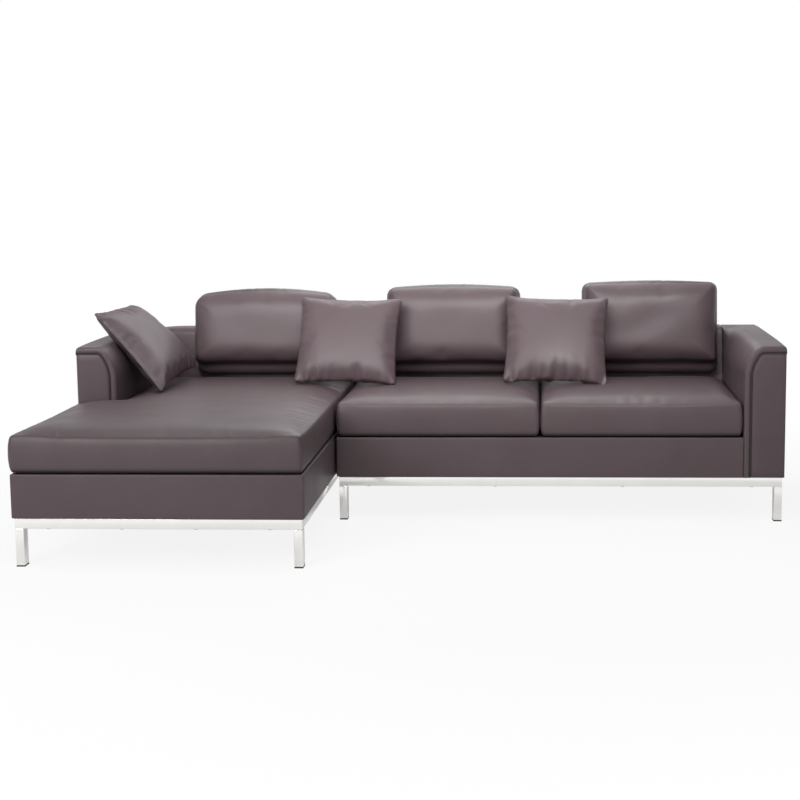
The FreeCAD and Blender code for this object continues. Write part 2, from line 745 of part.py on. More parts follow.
def scatter_form():
    """Square pillow lying flat: pointed corners, sides drawn in at the seam, both faces crowned."""
    corners = rectangle(-SCATTER_WIDTH / 2, SCATTER_WIDTH / 2, -SCATTER_HEIGHT / 2, SCATTER_HEIGHT / 2)
    levels = []
    for step in range(-CROWN_STEPS, CROWN_STEPS + 1):
        angle = math.pi / 2 * step / CROWN_STEPS
        rise = math.sin(angle)
        toward = 1 - math.cos(angle)
        bow = -SCATTER_DRAWN_IN + (SCATTER_DRAWN_IN + SCATTER_FULLNESS) * abs(rise)
        radius = SCATTER_CORNER + (SCATTER_FACE_CORNER - SCATTER_CORNER) * abs(rise)
        levels.append((SCATTER_HALF * rise, SCATTER_RUN * toward, radius, [bow] * 4))
    return soft_loft(corners, levels)


def leaning_scatter(x, turn):
    """Scatter cushion that leans on two neighbouring back cushions."""
    form = scatter_form()
    form.rotate(Vec(0, 0, 0), Vec(0, 0, 1), -turn)
    form.rotate(Vec(0, 0, 0), Vec(1, 0, 0), 90 - SCATTER_LEAN)
    lean = math.radians(SCATTER_LEAN)
    middle = Z_SEAT_TOP + SCATTER_FOOT + SCATTER_HEIGHT / 2 * math.cos(lean)
    front = back_face(middle) - (BACK_CUSHION_SIDE + BACK_CUSHION_CROWN) / math.cos(RAKE)
    form.translate(Vec(x, front - SCATTER_GAP, middle))
    return form


def arm_scatter():
    """Scatter cushion that stands on a corner and leans on the chaise arm."""
    up = Vec(ARM_SCATTER_UP)
    up.normalize()
    along = Vec(ARM_SCATTER_ALONG)
    along = along - up * along.dot(up)
    along.normalize()
    face = along.cross(up)
    middle = ARM_SCATTER_FOOT + along * (SCATTER_WIDTH / 2) + up * (SCATTER_HEIGHT / 2)
    matrix = FreeCAD.Matrix(
        along.x, up.x, face.x, middle.x,
        along.y, up.y, face.y, middle.y,
        along.z, up.z, face.z, middle.z,
        0, 0, 0, 1)
    form = scatter_form()
    form.Placement = FreeCAD.Placement(matrix)
    return form


def save_module(module):
    for side, rail in metal_rails(module).items():
        save(rail, module + "_" + side + "_metal_rail")
    save(legs(module), module + "_legs")
    save(glides(module), module + "_glides")
    save(frame_screws(module), module + "_frame_screws")
    save(end_boards(module), module + "_end_boards")
    save(side_boards(module), module + "_side_boards")
    save(slats(module), module + "_slats")
    save(webbing(module), module + "_webbing")
    save(deck_pad(module), module + "_deck_pad")
    save(dust_cloth(module), module + "_dust_cloth")
    save(back_cover(module), module + "_back_cover")
    save(back_frame(module), module + "_back_frame")


def save_arm(name, side, y_front, z_front):
    save(arm_cover(side, y_front, z_front), name + "_arm_cover")
    save(arm_front_panel(side, y_front, z_front), name + "_arm_front_panel")
    save(arm_welt(side, y_front, z_front), name + "_arm_welt")
    save(arm_frame(side, y_front), name + "_arm_frame")


def main():
    os.makedirs("parts", exist_ok=True)
    save_module("chaise")
    save_module("sofa")
    for name, panel in base_panels().items():
        save(panel, name)
    save_arm("left", -1, Y_CHAISE_ARM, Z_DECK)
    save_arm("right", 1, Y_SOFA, Z_BASE)
    save(module_brackets(), "module_brackets")
    save(module_bolts(), "module_bolts")
    for name, corners in seat_outlines().items():
        core = seat_core(corners)
        save(seat_form(corners).cut(core), name + "_seat_cushion")
        save(core, name + "_seat_core")
    save(back_cushion(LEFT_CUSHION_WIDTH, LEFT_CUSHION_HEIGHT, LEFT_CUSHION_ARCH,
                      LEFT_CUSHION_CORNER, LEFT_CUSHION_CENTRE), "left_back_cushion")
    save(back_cushion(MIDDLE_CUSHION_WIDTH, MIDDLE_CUSHION_HEIGHT, MIDDLE_CUSHION_ARCH,
                      MIDDLE_CUSHION_CORNER, MIDDLE_CUSHION_CENTRE), "middle_back_cushion")
    save(back_cushion(RIGHT_CUSHION_WIDTH, RIGHT_CUSHION_HEIGHT, RIGHT_CUSHION_ARCH,
                      RIGHT_CUSHION_CORNER, RIGHT_CUSHION_CENTRE), "right_back_cushion")
    save(arm_scatter(), "arm_scatter_cushion")
    save(leaning_scatter(CENTRE_SCATTER_CENTRE, CENTRE_SCATTER_TURN), "centre_scatter_cushion")
    save(leaning_scatter(RIGHT_SCATTER_CENTRE, RIGHT_SCATTER_TURN), "right_scatter_cushion")


main()
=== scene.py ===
import json
import math

import bmesh
import bpy
import numpy as np
from bpy.props import FloatProperty, FloatVectorProperty, PointerProperty
from mathutils import Matrix, Vector


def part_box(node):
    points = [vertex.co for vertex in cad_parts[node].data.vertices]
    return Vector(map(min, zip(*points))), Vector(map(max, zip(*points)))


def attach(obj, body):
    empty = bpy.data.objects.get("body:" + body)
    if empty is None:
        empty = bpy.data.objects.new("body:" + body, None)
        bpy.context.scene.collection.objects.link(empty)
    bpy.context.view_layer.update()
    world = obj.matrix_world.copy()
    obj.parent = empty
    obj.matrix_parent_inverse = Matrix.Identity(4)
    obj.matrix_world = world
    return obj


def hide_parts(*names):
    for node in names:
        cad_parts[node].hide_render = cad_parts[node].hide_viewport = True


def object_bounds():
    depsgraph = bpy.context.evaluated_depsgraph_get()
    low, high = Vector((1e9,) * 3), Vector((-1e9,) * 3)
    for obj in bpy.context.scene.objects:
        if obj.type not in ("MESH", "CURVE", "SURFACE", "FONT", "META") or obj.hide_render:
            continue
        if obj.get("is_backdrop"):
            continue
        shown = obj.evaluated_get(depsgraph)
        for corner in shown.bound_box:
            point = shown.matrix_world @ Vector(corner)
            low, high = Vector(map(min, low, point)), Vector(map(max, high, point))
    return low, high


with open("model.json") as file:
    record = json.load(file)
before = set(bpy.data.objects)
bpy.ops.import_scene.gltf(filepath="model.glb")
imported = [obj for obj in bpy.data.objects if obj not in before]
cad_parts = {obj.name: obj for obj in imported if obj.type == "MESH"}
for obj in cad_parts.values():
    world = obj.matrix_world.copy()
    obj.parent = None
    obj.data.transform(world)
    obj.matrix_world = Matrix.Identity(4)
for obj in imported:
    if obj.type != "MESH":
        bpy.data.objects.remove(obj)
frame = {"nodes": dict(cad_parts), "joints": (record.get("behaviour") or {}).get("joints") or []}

bl_info = {
    "name": "Corner sofa",
    "version": (1, 0, 0),
    "blender": (4, 5, 0),
    "location": "3D View > Sidebar > Sofa",
    "description": "Leather, chrome and stuffing of a corner sofa with a chaise",
    "category": "Object",
}

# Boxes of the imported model, in metres
CAD_LOW, CAD_HIGH = (np.array(corner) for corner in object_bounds())


def node_box(node):
    """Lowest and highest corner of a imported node, as arrays."""
    low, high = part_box(node)
    return np.array(low), np.array(high)


def joint_axis(name):
    """Axis of a packed joint."""
    found = [joint for joint in frame["joints"] if joint["name"] == name]
    return np.array(found[0]["axis"], float)


ARM_LEFT_LOW, ARM_LEFT_HIGH = node_box("left_arm_cover")
ARM_RIGHT_LOW, ARM_RIGHT_HIGH = node_box("right_arm_cover")
SEAT_TOP = node_box("chaise_seat_cushion")[1][2]
FRAME_TOP = ARM_LEFT_HIGH[2]
BACK_Y = CAD_HIGH[1]
BACK_AXIS = joint_axis("middle_back_lift")
RAKE = math.atan2(BACK_AXIS[1], BACK_AXIS[2])
BACK_THICKNESS = 0.122
SMALL_GAP = 0.001

# Arm outline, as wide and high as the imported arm's curve
ARM_CURVE_WIDTH = 0.075
ARM_CURVE_HEIGHT = 0.125
ARM_TOP_ARC = 0.050
ARM_OUTER_EDGE = 0.012
SEAM_INSET = 0.025
ARM_FRONT_RADIUS = 0.010
ARM_REAR_RADIUS = 0.022
ARM_TOP_PUFF = 0.004
ARM_FILL_START = 0.195
ARM_FILL_RUN = 0.090

# Front panel of an arm: gap to the seam, swell and its run, radius at the outer side, depth
PANEL_GAP = 0.0035
PANEL_PUFF = 0.0035
PANEL_RUN = 0.03
PANEL_RADIUS = 0.009
PANEL_DEPTH = 0.013

# Piping: inset from the seam, distance behind the arm's front, radius
WELT_INSET = 0.0015
WELT_SETBACK = 0.0025
WELT_RADIUS = 0.0028

# Back: radius of its front and rear top edges, height and depth of the lip over its rear panel
BACK_FRONT_RADIUS = 0.030
BACK_REAR_RADIUS = 0.008
BACK_LIP = 0.045
BACK_LIP_DEPTH = 0.014

# Seams: reach beside them on a face, reach on the side band as a share of its height, strength of
# the painted shade along them, and how much weaker the seat cushions' top seam is
SEAM_REACH = 0.004
SEAM_LAYER = 0.05
SEAM_PAINTED_SHADE = 0.85
SEAT_TOP_SEAM = 0.12

# Cushion meshes: first step from an edge, rows of the side band and ease of a foam block's edges
EDGE_CELL = 0.005
BAND_ROWS = 8
BLOCK_EASE = 0.004

# Cloth runs: pressure inside, frames and growth of the cloth
SEAT_STUFFING = {"pressure": 2.5, "frames": 16, "growth": 0.01}
BACK_STUFFING = {"pressure": 3.0, "frames": 18, "growth": 0.008}
PILLOW_STUFFING = {"pressure": 5.0, "frames": 26, "growth": 0.03}
PILLOW_SWELL = 0.03
PILLOW_SPREAD = 0.4

# Gathers of the pillows: height, length of a wave along the seam, reach inwards
GATHER_HEIGHT = 0.0050
GATHER_WAVE = 0.042
GATHER_REACH = 0.035

# Pillows: ways of the one on the arm, lean and turn of the others, and each kind's shift
ARM_PILLOW_UP = np.array([-0.668, 0.035, 0.743])
ARM_PILLOW_ALONG = np.array([0.17, 0.98, 0.08])
ARM_PILLOW_SHIFT = (-0.013, -0.004, 0.001)
PILLOW_LEAN = math.radians(32.0)
PILLOW_TURN = math.radians(1.5)
PILLOW_SHIFT = (0, -0.028, -0.001)
PILLOW_GAP = 0.004

# Stage
NEAR_LAMP_PLACES = (-0.8, 0.0, 0.8)
NEAR_LAMP_SPREAD = math.radians(60)
FLOOR_FADE = (1.7, 3.0)

# Loose back cushions: height, arch of the top and corner radius
BACK_SHAPES = {
    "left_back_cushion": (0.337, 0.028, 0.046),
    "middle_back_cushion": (0.363, 0.014, 0.027),
    "right_back_cushion": (0.378, 0.010, 0.023),
}

# Sag of the pillow on the arm: moves of its rear top corner and its front foot
REAR_CORNER_SINK = np.array([-0.020, -0.005, -0.036])
FRONT_FOOT_SLIP = np.array([0.016, -0.062, -0.006])


def back_face(height):
    """Y of the raked front of the back at a height."""
    return BACK_Y - BACK_THICKNESS - (FRAME_TOP - height) * math.tan(RAKE)


# Settings

def length_setting(name, text, metres):
    """Length in metres."""
    return FloatProperty(name=name, description=text, subtype="DISTANCE", unit="LENGTH", default=metres)


def share_setting(name, text, share):
    """Share from 0 to 1."""
    return FloatProperty(name=name, description=text, subtype="FACTOR", min=0, max=1, default=share)


def colour_setting(name, text, colour):
    """Colour, as three shares of red, green and blue."""
    return FloatVectorProperty(
        name=name, description=text, subtype="COLOR", size=3, min=0, max=1, default=colour)


def power_setting(name, text, watts):
    """Power of a lamp."""
    return FloatProperty(name=name, description=text, unit="POWER", default=watts)


def angle_setting(name, text, degrees):
    """Angle, given here in degrees."""
    return FloatProperty(
        name=name, description=text, subtype="ANGLE", unit="ROTATION", default=math.radians(degrees))


class LeatherSettings(bpy.types.PropertyGroup):
    """Smooth leather of the covers and cushions."""
    colour: colour_setting("Colour", "Colour of the leather", (0.073, 0.049, 0.055))
    tint: colour_setting("Worn colour", "Colour where hands and seats rub", (0.090, 0.065, 0.071))
    # The seam shade colour is painted shade: near-black laid along the seams where their grooves fall in
    # shadow.
    seam_shade_colour: colour_setting("Seam colour", "Colour deep in the seams", (0.012, 0.007, 0.008))
    pebble: length_setting("Pebble size", "Width of one pebble of the grain", 0.0016)
    grain_depth: length_setting("Grain depth", "Height of the grain", 0.00012)
    roughness: share_setting("Roughness", "Roughness of the leather's finish", 0.46)


class MetalSettings(bpy.types.PropertyGroup):
    """Chromed square tubes."""
    colour: colour_setting("Colour", "Colour of the chrome", (0.93, 0.915, 0.89))
    roughness: share_setting("Roughness", "Roughness of the polish", 0.10)
    edge: length_setting("Edge radius", "Radius of the tubes' edges", 0.0025)


class SeatSettings(bpy.types.PropertyGroup):
    """Seat cushions."""
    crown: length_setting("Crown", "Rise of the top above its seam", 0.025)
    crown_run: length_setting("Crown run", "Distance from the seam to the level top", 0.180)
    bulge: length_setting("Side bulge", "How far the sides stand out between the seams", 0.006)
    corner: length_setting("Corner radius", "Radius of the corners seen from above", 0.013)
    overhang: length_setting("Overhang", "How far the chaise cushion stands out at its free side", 0.007)
    cell: length_setting("Cell", "Spacing of the mesh", 0.016)
    swell: length_setting("Swell", "Most that the stuffing may push the cover out", 0.008)


class BackSettings(bpy.types.PropertyGroup):
    """Loose back cushions."""
    side: length_setting("Side", "Depth of the side between its seams", 0.100)
    crown: length_setting("Crown", "Rise of the front above its seam", 0.064)
    crown_run: length_setting("Crown run", "Distance from the seam to the level front", 0.110)
    curl: length_setting("Curl", "How high the front seam stands over the seat", 0.040)
    bulge: length_setting("Side bulge", "How far the sides stand out between the seams", 0.008)
    cell: length_setting("Cell", "Spacing of the mesh", 0.012)
    swell: length_setting("Swell", "Most that the stuffing may push the cover out", 0.009)


class ScatterSettings(bpy.types.PropertyGroup):
    """Square scatter cushions."""
    width: length_setting("Width", "Width between the corners", 0.420)
    height: length_setting("Height", "Height between the corners", 0.392)
    half: length_setting("Half thickness", "From the seam to the crown of a face", 0.056)
    cell: length_setting("Cell", "Spacing of the mesh", 0.0085)


class StudioSettings(bpy.types.PropertyGroup):
    """Floor, lamps and camera."""
    floor: colour_setting("Floor colour", "Colour of the pale floor", (0.90, 0.90, 0.90))
    top_power: power_setting("Top lamp", "Power of the soft lamp overhead", 26)
    near_power: power_setting("Near lamps", "Power of each lamp that looks at the back cushions", 3.4)
    key_power: power_setting("Key lamp", "Power of the soft lamp at the front left", 128)
    side_power: power_setting("Side lamp", "Power of the soft lamp at the left", 22)
    rear_power: power_setting("Rear lamp", "Power of the soft lamp behind the back", 30)
    room: FloatProperty(
        name="Room light", description="Strength of the light from all round", default=0.30)
    gloss: FloatProperty(
        name="Room in gloss", description="Strength of the room as gloss and chrome show it",
        default=0.85)
    floor_glow: share_setting(
        "Floor glow", "Share of plain white in the floor that the camera sees", 0.88)
    floor_gloss: share_setting(
        "Floor in gloss", "Share of plain white in the floor that chrome shows", 0.40)
    place: FloatVectorProperty(
        name="Camera place", description="Where the camera stands", subtype="TRANSLATION",
        unit="LENGTH", size=3, default=(0.4527, -6.1125, 1.3017))
    yaw: angle_setting("Yaw", "Camera's turn to the left", 4.056)
    pitch: angle_setting("Pitch", "Camera's tilt downwards", 7.87)
    roll: angle_setting("Roll", "Camera's turn about its own axis", -0.622)
    lens: FloatProperty(
        name="Lens", description="Focal length in millimetres on a 36 mm sensor", default=72.83)
    shift: FloatProperty(
        name="Shift", description="Sideways shift of the frame", default=-0.0388)


# Meshes

SHARP_ANGLE = math.radians(40)
MERGE = 1e-6


def make_piece(name, points, faces, material, sharp=True):
    """Mesh object from an array of points and arrays of faces, smooth but for its sharp edges."""
    mesh = bpy.data.meshes.new(name)
    lists = [face for block in faces for face in block.tolist()]
    mesh.from_pydata(np.asarray(points, float).tolist(), [], lists)
    mesh.polygons.foreach_set("use_smooth", np.ones(len(mesh.polygons), bool))
    mesh.update()
    if sharp:
        mesh.set_sharp_from_angle(angle=SHARP_ANGLE)
    mesh.materials.append(material)
    piece = bpy.data.objects.new(name, mesh)
    bpy.context.scene.collection.objects.link(piece)
    return piece


def tidy_mesh(piece, outward=True):
    """Merge doubled points and turn every face outwards."""
    work = bmesh.new()
    work.from_mesh(piece.data)
    bmesh.ops.remove_doubles(work, verts=work.verts, dist=MERGE)
    loose = [vert for vert in work.verts if not vert.link_faces]
    bmesh.ops.delete(work, geom=loose, context="VERTS")
    if outward:
        bmesh.ops.recalc_face_normals(work, faces=work.faces)
    work.to_mesh(piece.data)
    work.free()
    piece.data.update()
    return piece


def grid_quads(rows, columns, wrap_rows=False, wrap_columns=False):
    """Quads of a grid of points numbered row by row; a wrapped way joins its last line to its first."""
    row = np.arange(rows if wrap_rows else rows - 1)
    column = np.arange(columns if wrap_columns else columns - 1)
    row, column = (part.ravel() for part in np.meshgrid(row, column, indexing="ij"))
    next_row = (row + 1) % rows
    next_column = (column + 1) % columns
    return np.stack([row * columns + column, row * columns + next_column,
                     next_row * columns + next_column, next_row * columns + column], 1)


def slab_faces(rows, columns):
    """Faces of a closed slab: a front grid, a back grid behind it and the band round them."""
    count = rows * columns
    front = grid_quads(rows, columns)
    rim = np.concatenate([np.arange(columns), np.arange(1, rows) * columns + columns - 1,
                          (rows - 1) * columns + np.arange(columns - 2, -1, -1),
                          np.arange(rows - 2, 0, -1) * columns])
    around = np.stack([rim, np.roll(rim, -1), np.roll(rim, -1) + count, rim + count], 1)
    return [front, front[:, ::-1] + count, around]


def dress(piece, body, slot, *nodes):
    """Attach a finished piece to its body and hide the nodes that it stands for; its finish slot is not
    used.
    """
    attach(piece, body)
    if nodes:
        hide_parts(*nodes)
    return piece


def subdivide(piece, levels=1):
    """Round a mesh off with a subdivision surface."""
    modifier = piece.modifiers.new("Smooth", "SUBSURF")
    modifier.levels = levels
    modifier.render_levels = levels
    return piece


def rounded_rectangle(half_a, half_b, radius, steps=4):
    """Outline of a rectangle with round corners: corner centre plus radius times (cos, sin)."""
    angle = (np.arange(4)[:, None] * math.pi / 2 + np.linspace(0, math.pi / 2, steps + 1)[None]).ravel()
    sign_a = np.repeat([1, -1, -1, 1], steps + 1)
    sign_b = np.repeat([1, 1, -1, -1], steps + 1)
    a = sign_a * (half_a - radius) + radius * np.cos(angle)
    b = sign_b * (half_b - radius) + radius * np.sin(angle)
    return np.stack([a, b], 1)


def bar_arrays(low, high, radius, axis, steps=4):
    """Bar with all edges rounded: rounded rectangles carried along an axis, quarter circles at its ends.

    At an angle t of an end's quarter circle the outline is radius * (1 - sin t) smaller and stands
    radius * (1 - cos t) in from the end.
    """
    low, high = np.asarray(low, float), np.asarray(high, float)
    others = [i for i in range(3) if i != axis]
    half = (high - low) / 2
    middle = (high + low) / 2
    angle = np.linspace(0, math.pi / 2, steps + 1)
    shrink = radius * (1 - np.sin(angle))
    along = radius * (1 - np.cos(angle))
    insets = np.concatenate([shrink, shrink[::-1]])
    places = np.concatenate([-half[axis] + along, half[axis] - along[::-1]])
    rings = []
    for inset, place in zip(insets, places):
        edge = max(radius - inset, radius * 0.15)
        outline = rounded_rectangle(half[others[0]] - inset, half[others[1]] - inset, edge, steps)
        ring = np.empty((len(outline), 3))
        ring[:, others[0]] = outline[:, 0]
        ring[:, others[1]] = outline[:, 1]
        ring[:, axis] = place
        rings.append(ring + middle)
    count = len(rings[0])
    points = np.concatenate(rings)
    sides = grid_quads(len(rings), count, wrap_columns=True)
    caps = np.array([np.arange(count)[::-1], np.arange(count) + count * (len(rings) - 1)])
    return points, [sides, caps]


def joined(parts):
    """Join several (points, faces) pairs into one."""
    points, faces, start = [], [], 0
    for part_points, part_faces in parts:
        points.append(part_points)
        faces += [block + start for block in part_faces]
        start += len(part_points)
    return np.concatenate(points), faces


def box_faces(places):
    """Closed grid on the surface of a box: six grids through the places given for each axis."""
    points, faces, start = [], [], 0
    for axis in range(3):
        a, b = [i for i in range(3) if i != axis]
        ga, gb = np.meshgrid(places[a], places[b], indexing="ij")
        for end in (0, -1):
            block = np.empty((ga.size, 3))
            block[:, a] = ga.ravel()
            block[:, b] = gb.ravel()
            block[:, axis] = places[axis][end]
            points.append(block)
            faces.append(grid_quads(*ga.shape) + start)
            start += ga.size
    return np.concatenate(points), faces


def soft_pad(name, low, high, radius, puff, material, pitch=0.03):
    """Padded panel: a box whose edges are rounded and whose faces swell.

    Each point is drawn to the box that is smaller by the radius, and set out from it by the radius;
    a face swells by puff * (1 - u^8) * (1 - v^8), u and v running from -1 to 1 across the panel.
    """
    low, high = np.asarray(low, float), np.asarray(high, float)
    size = high - low
    radius = min(radius, size.min() * 0.3)
    points, faces = box_faces([spaced(a, b, pitch, radius * 0.5) for a, b in zip(low, high)])
    core = np.clip(points, low + radius, high - radius)
    out = points - core
    length = np.linalg.norm(out, axis=1, keepdims=True)
    points = core + out / np.maximum(length, MERGE) * radius
    thin = int(size.argmin())
    u, v = [i for i in range(3) if i != thin]
    across = (points - (low + high) / 2) / (size / 2)
    swell = puff * (1 - across[:, u] ** 8).clip(0) * (1 - across[:, v] ** 8).clip(0)
    points[:, thin] += swell * np.sign(across[:, thin])
    piece = make_piece(name, points, faces, material, sharp=False)
    return tidy_mesh(piece)


# Lattices for cushions

def spaced(low, high, cell, edge):
    """Places from low to high: short steps of edge at both ends and even steps of about cell between."""
    count = max(2, round((high - low - 4 * edge) / cell))
    inner = np.linspace(low + 2 * edge, high - 2 * edge, count + 1)
    return np.concatenate([[low, low + edge], inner, [high - edge, high]])


def side_distances(x, y, corners):
    """Distance of each point to each side of an outline, and the sides' ways."""
    points = np.stack([x, y], -1)[:, None]
    start = np.array(corners, float)
    way = np.roll(start, -1, axis=0) - start
    share = ((points - start) * way).sum(-1) / (way ** 2).sum(-1)
    nearest = start + np.clip(share, 0, 1)[..., None] * way
    return np.linalg.norm(points - nearest, axis=-1), way


def outline_distance(x, y, corners):
    """Distance of points to the nearest side of a right-angled outline."""
    return side_distances(x, y, corners)[0].min(1)


def round_corners(x, y, corners, radius):
    """Draw the points of a lattice in round the outline's outer corners.

    In a corner's square of side radius, a point at q from the inner corner moves to
    q * max(|qx|, |qy|) / |q|, which takes the square's sides to a quarter circle.
    """
    count = len(corners)
    for index, (cx, cy) in enumerate(corners):
        before = np.array(corners[index - 1])
        after = np.array(corners[(index + 1) % count])
        here = np.array([cx, cy])
        into, out_of = here - before, after - here
        if into[0] * out_of[1] - into[1] * out_of[0] <= 0:
            continue
        inward = np.sign(out_of) + np.sign(-into)
        inner = here + inward * radius
        qx, qy = (inner[0] - x) * inward[0], (inner[1] - y) * inward[1]
        inside = (qx > 0) & (qy > 0) & (qx <= radius + MERGE) & (qy <= radius + MERGE)
        length = np.hypot(qx, qy)
        scale = np.where(inside, np.maximum(qx, qy) / np.maximum(length, MERGE), 1)
        x = np.where(inside, inner[0] - qx * scale * inward[0], x)
        y = np.where(inside, inner[1] - qy * scale * inward[1], y)
    return x, y


def lattice(corners, cell, edge, rows):
    """Two sheets and a side band over a right-angled outline of whole cells.

    Gives plan places, a layer from 0 at the lower sheet to 1 at the upper one, and quads.
    """
    corner_x = sorted({x for x, y in corners})
    corner_y = sorted({y for x, y in corners})
    xs = [corner_x[0]]
    ys = [corner_y[0]]
    for low, high in zip(corner_x[:-1], corner_x[1:]):
        xs = np.concatenate([xs, spaced(low, high, cell, edge)[1:]])
    for low, high in zip(corner_y[:-1], corner_y[1:]):
        ys = np.concatenate([ys, spaced(low, high, cell, edge)[1:]])
    nx, ny = len(xs), len(ys)
    gx, gy = (part.ravel() for part in np.meshgrid(xs, ys, indexing="ij"))
    quads = grid_quads(nx, ny)[:, ::-1]
    centre_x = gx[quads].mean(1)
    centre_y = gy[quads].mean(1)
    quads = quads[inside_outline(centre_x, centre_y, corners)]
    loop = []
    for index, (ax, ay) in enumerate(corners):
        bx, by = corners[(index + 1) % len(corners)]
        ia, ja = np.abs(xs - ax).argmin(), np.abs(ys - ay).argmin()
        ib, jb = np.abs(xs - bx).argmin(), np.abs(ys - by).argmin()
        steps = max(abs(ib - ia), abs(jb - ja))
        i = ia + np.sign(ib - ia) * np.arange(steps)
        j = ja + np.sign(jb - ja) * np.arange(steps)
        loop.append(i * ny + j)
    loop = np.concatenate(loop)
    sheet = nx * ny
    band_rows = np.arange(1, rows)
    x = np.concatenate([gx, gx, np.tile(gx[loop], rows - 1)])
    y = np.concatenate([gy, gy, np.tile(gy[loop], rows - 1)])
    layer = np.concatenate([np.zeros(sheet), np.ones(sheet), np.repeat(band_rows / rows, len(loop))])
    sheet_of = np.concatenate([np.zeros(sheet), np.ones(sheet), np.full((rows - 1) * len(loop), 0.5)])
    lines = [loop]
    for row in band_rows:
        lines.append(2 * sheet + (row - 1) * len(loop) + np.arange(len(loop)))
    lines.append(loop + sheet)
    numbers = np.concatenate(lines)
    band = numbers[grid_quads(rows + 1, len(loop), wrap_columns=True)]
    faces = np.concatenate([quads[:, ::-1], quads + sheet, band])
    used, faces = np.unique(faces, return_inverse=True)
    return x[used], y[used], layer[used], sheet_of[used], faces.reshape(-1, 4)


def inside_outline(x, y, corners):
    """Whether points lie inside an outline, by counting the sides crossed on the way to the right."""
    crossings = np.zeros(len(x), int)
    for index, (ax, ay) in enumerate(corners):
        bx, by = corners[(index + 1) % len(corners)]
        if ay == by:
            continue
        crossings += ((y > min(ay, by)) & (y <= max(ay, by)) & (x < ax)).astype(int)
    return crossings % 2 == 1


def crown(distance, rise, run, power=1.9):
    """Height above a seam at a distance from it: rise * (1 - (1 - d / run)^power)^(1 / power)."""
    left = 1 - np.clip(distance / run, 0, 1)
    return rise * (1 - left ** power) ** (1 / power)


def bell(distance, width):
    """Share that falls off with a distance: e^(-(d / width)^2)."""
    return np.exp(-(distance / width) ** 2)


def side_bulge(depth, layer, sheet):
    """How far the side band stands out: depth * sin(pi t)^0.7 at a height share t."""
    return depth * np.sin(np.pi * layer.clip(0, 1)) ** 0.7 * (sheet == 0.5)


def smooth_noise(x, y, seed, size, count=24):
    """Gentle waves in a plane: a sum of sines of random ways, lengths about size and phases."""
    random = np.random.default_rng(seed)
    angle = random.uniform(0, 2 * math.pi, count)
    wave = 2 * math.pi / (size * random.uniform(0.7, 1.6, count))
    phase = random.uniform(0, 2 * math.pi, count)
    total = np.sin((np.outer(x, np.cos(angle)) + np.outer(y, np.sin(angle))) * wave + phase).sum(1)
    return total / math.sqrt(count)


def outward_normals(points, faces):
    """Unit normal of each point, from the crossed diagonals of the quads round it."""
    corner = points[faces]
    face_normal = np.cross(corner[:, 2] - corner[:, 0], corner[:, 3] - corner[:, 1])
    normal = np.zeros_like(points)
    for column in range(4):
        np.add.at(normal, faces[:, column], face_normal)
    return normal / np.maximum(np.linalg.norm(normal, axis=1, keepdims=True), MERGE)


def face_out(points, faces):
    """Quads in the order that makes a closed form's volume positive."""
    corner = points[faces]
    half = np.cross(corner[:, 2] - corner[:, 0], corner[:, 3] - corner[:, 1])
    volume = (corner.mean(1) * half).sum()
    return faces if volume > 0 else faces[:, ::-1]


def stuff(points, faces, held, cap, pressure, frames, growth):
    """Blow a cover up as cloth under pressure from inside, and cap how far any point moves.

    held gives how firmly each point is kept, from 0 to 1; growth lengthens the cloth.
    """
    scene = bpy.context.scene
    mesh = bpy.data.meshes.new("cover")
    mesh.from_pydata(points.tolist(), [], faces.tolist())
    cover = bpy.data.objects.new("cover", mesh)
    scene.collection.objects.link(cover)
    group = cover.vertex_groups.new(name="held")
    for weight in np.unique(held):
        if weight > 0:
            group.add(np.flatnonzero(held == weight).tolist(), float(weight), "REPLACE")
    cloth = cover.modifiers.new("Cloth", "CLOTH")
    settings = cloth.settings
    settings.quality = 5
    settings.mass = 0.4
    settings.tension_stiffness = 25
    settings.compression_stiffness = 25
    settings.shear_stiffness = 8
    settings.bending_stiffness = 0.8
    settings.tension_damping = 12
    settings.air_damping = 3
    settings.use_pressure = True
    settings.uniform_pressure_force = pressure
    settings.effector_weights.gravity = 0
    settings.shrink_min = -growth
    if (held > 0).any():
        settings.vertex_group_mass = "held"
        settings.pin_stiffness = 2
    cloth.collision_settings.use_collision = False
    cloth.point_cache.frame_start = 1
    cloth.point_cache.frame_end = frames + 1
    for step in range(1, frames + 1):
        scene.frame_set(step)
    depsgraph = bpy.context.evaluated_depsgraph_get()
    result = cover.evaluated_get(depsgraph).data
    blown = np.empty(len(points) * 3, np.float32)
    result.vertices.foreach_get("co", blown)
    blown = blown.reshape(-1, 3).astype(float)
    scene.frame_set(1)
    bpy.data.objects.remove(cover)
    bpy.data.meshes.remove(mesh)
    moved = blown - points
    length = np.linalg.norm(moved, axis=1, keepdims=True)
    soft = cap * np.tanh(length / cap)
    return points + moved / np.maximum(length, MERGE) * soft


def set_values(piece, name, values):
    """Store one number per point for the materials."""
    attribute = piece.data.attributes.new(name, "FLOAT", "POINT")
    attribute.data.foreach_set("value", np.asarray(values, np.float32))


# Shader tools

def new_material(name):
    """Empty material; gives the material and its node tree."""
    material = bpy.data.materials.new(name)
    material.use_nodes = True
    tree = material.node_tree
    tree.nodes.clear()
    return material, tree


def add_node(tree, kind, values=(), **settings):
    """Add a node, with settings as attributes and values for its sockets by name or number."""
    node = tree.nodes.new(kind)
    for key, value in settings.items():
        setattr(node, key, value)
    for key, value in dict(values).items():
        node.inputs[key].default_value = value
    return node


def finish_material(tree, shader):
    """Wire a shader to a material's output."""
    output = tree.nodes.new("ShaderNodeOutputMaterial")
    tree.links.new(shader.outputs[0], output.inputs["Surface"])


def ramp(tree, source, low, high, start=0.0, end=1.0):
    """Map a value between low and high to start and end, clamped."""
    node = add_node(tree, "ShaderNodeMapRange", {
        "From Min": low, "From Max": high, "To Min": start, "To Max": end})
    tree.links.new(source, node.inputs["Value"])
    return node.outputs["Result"]


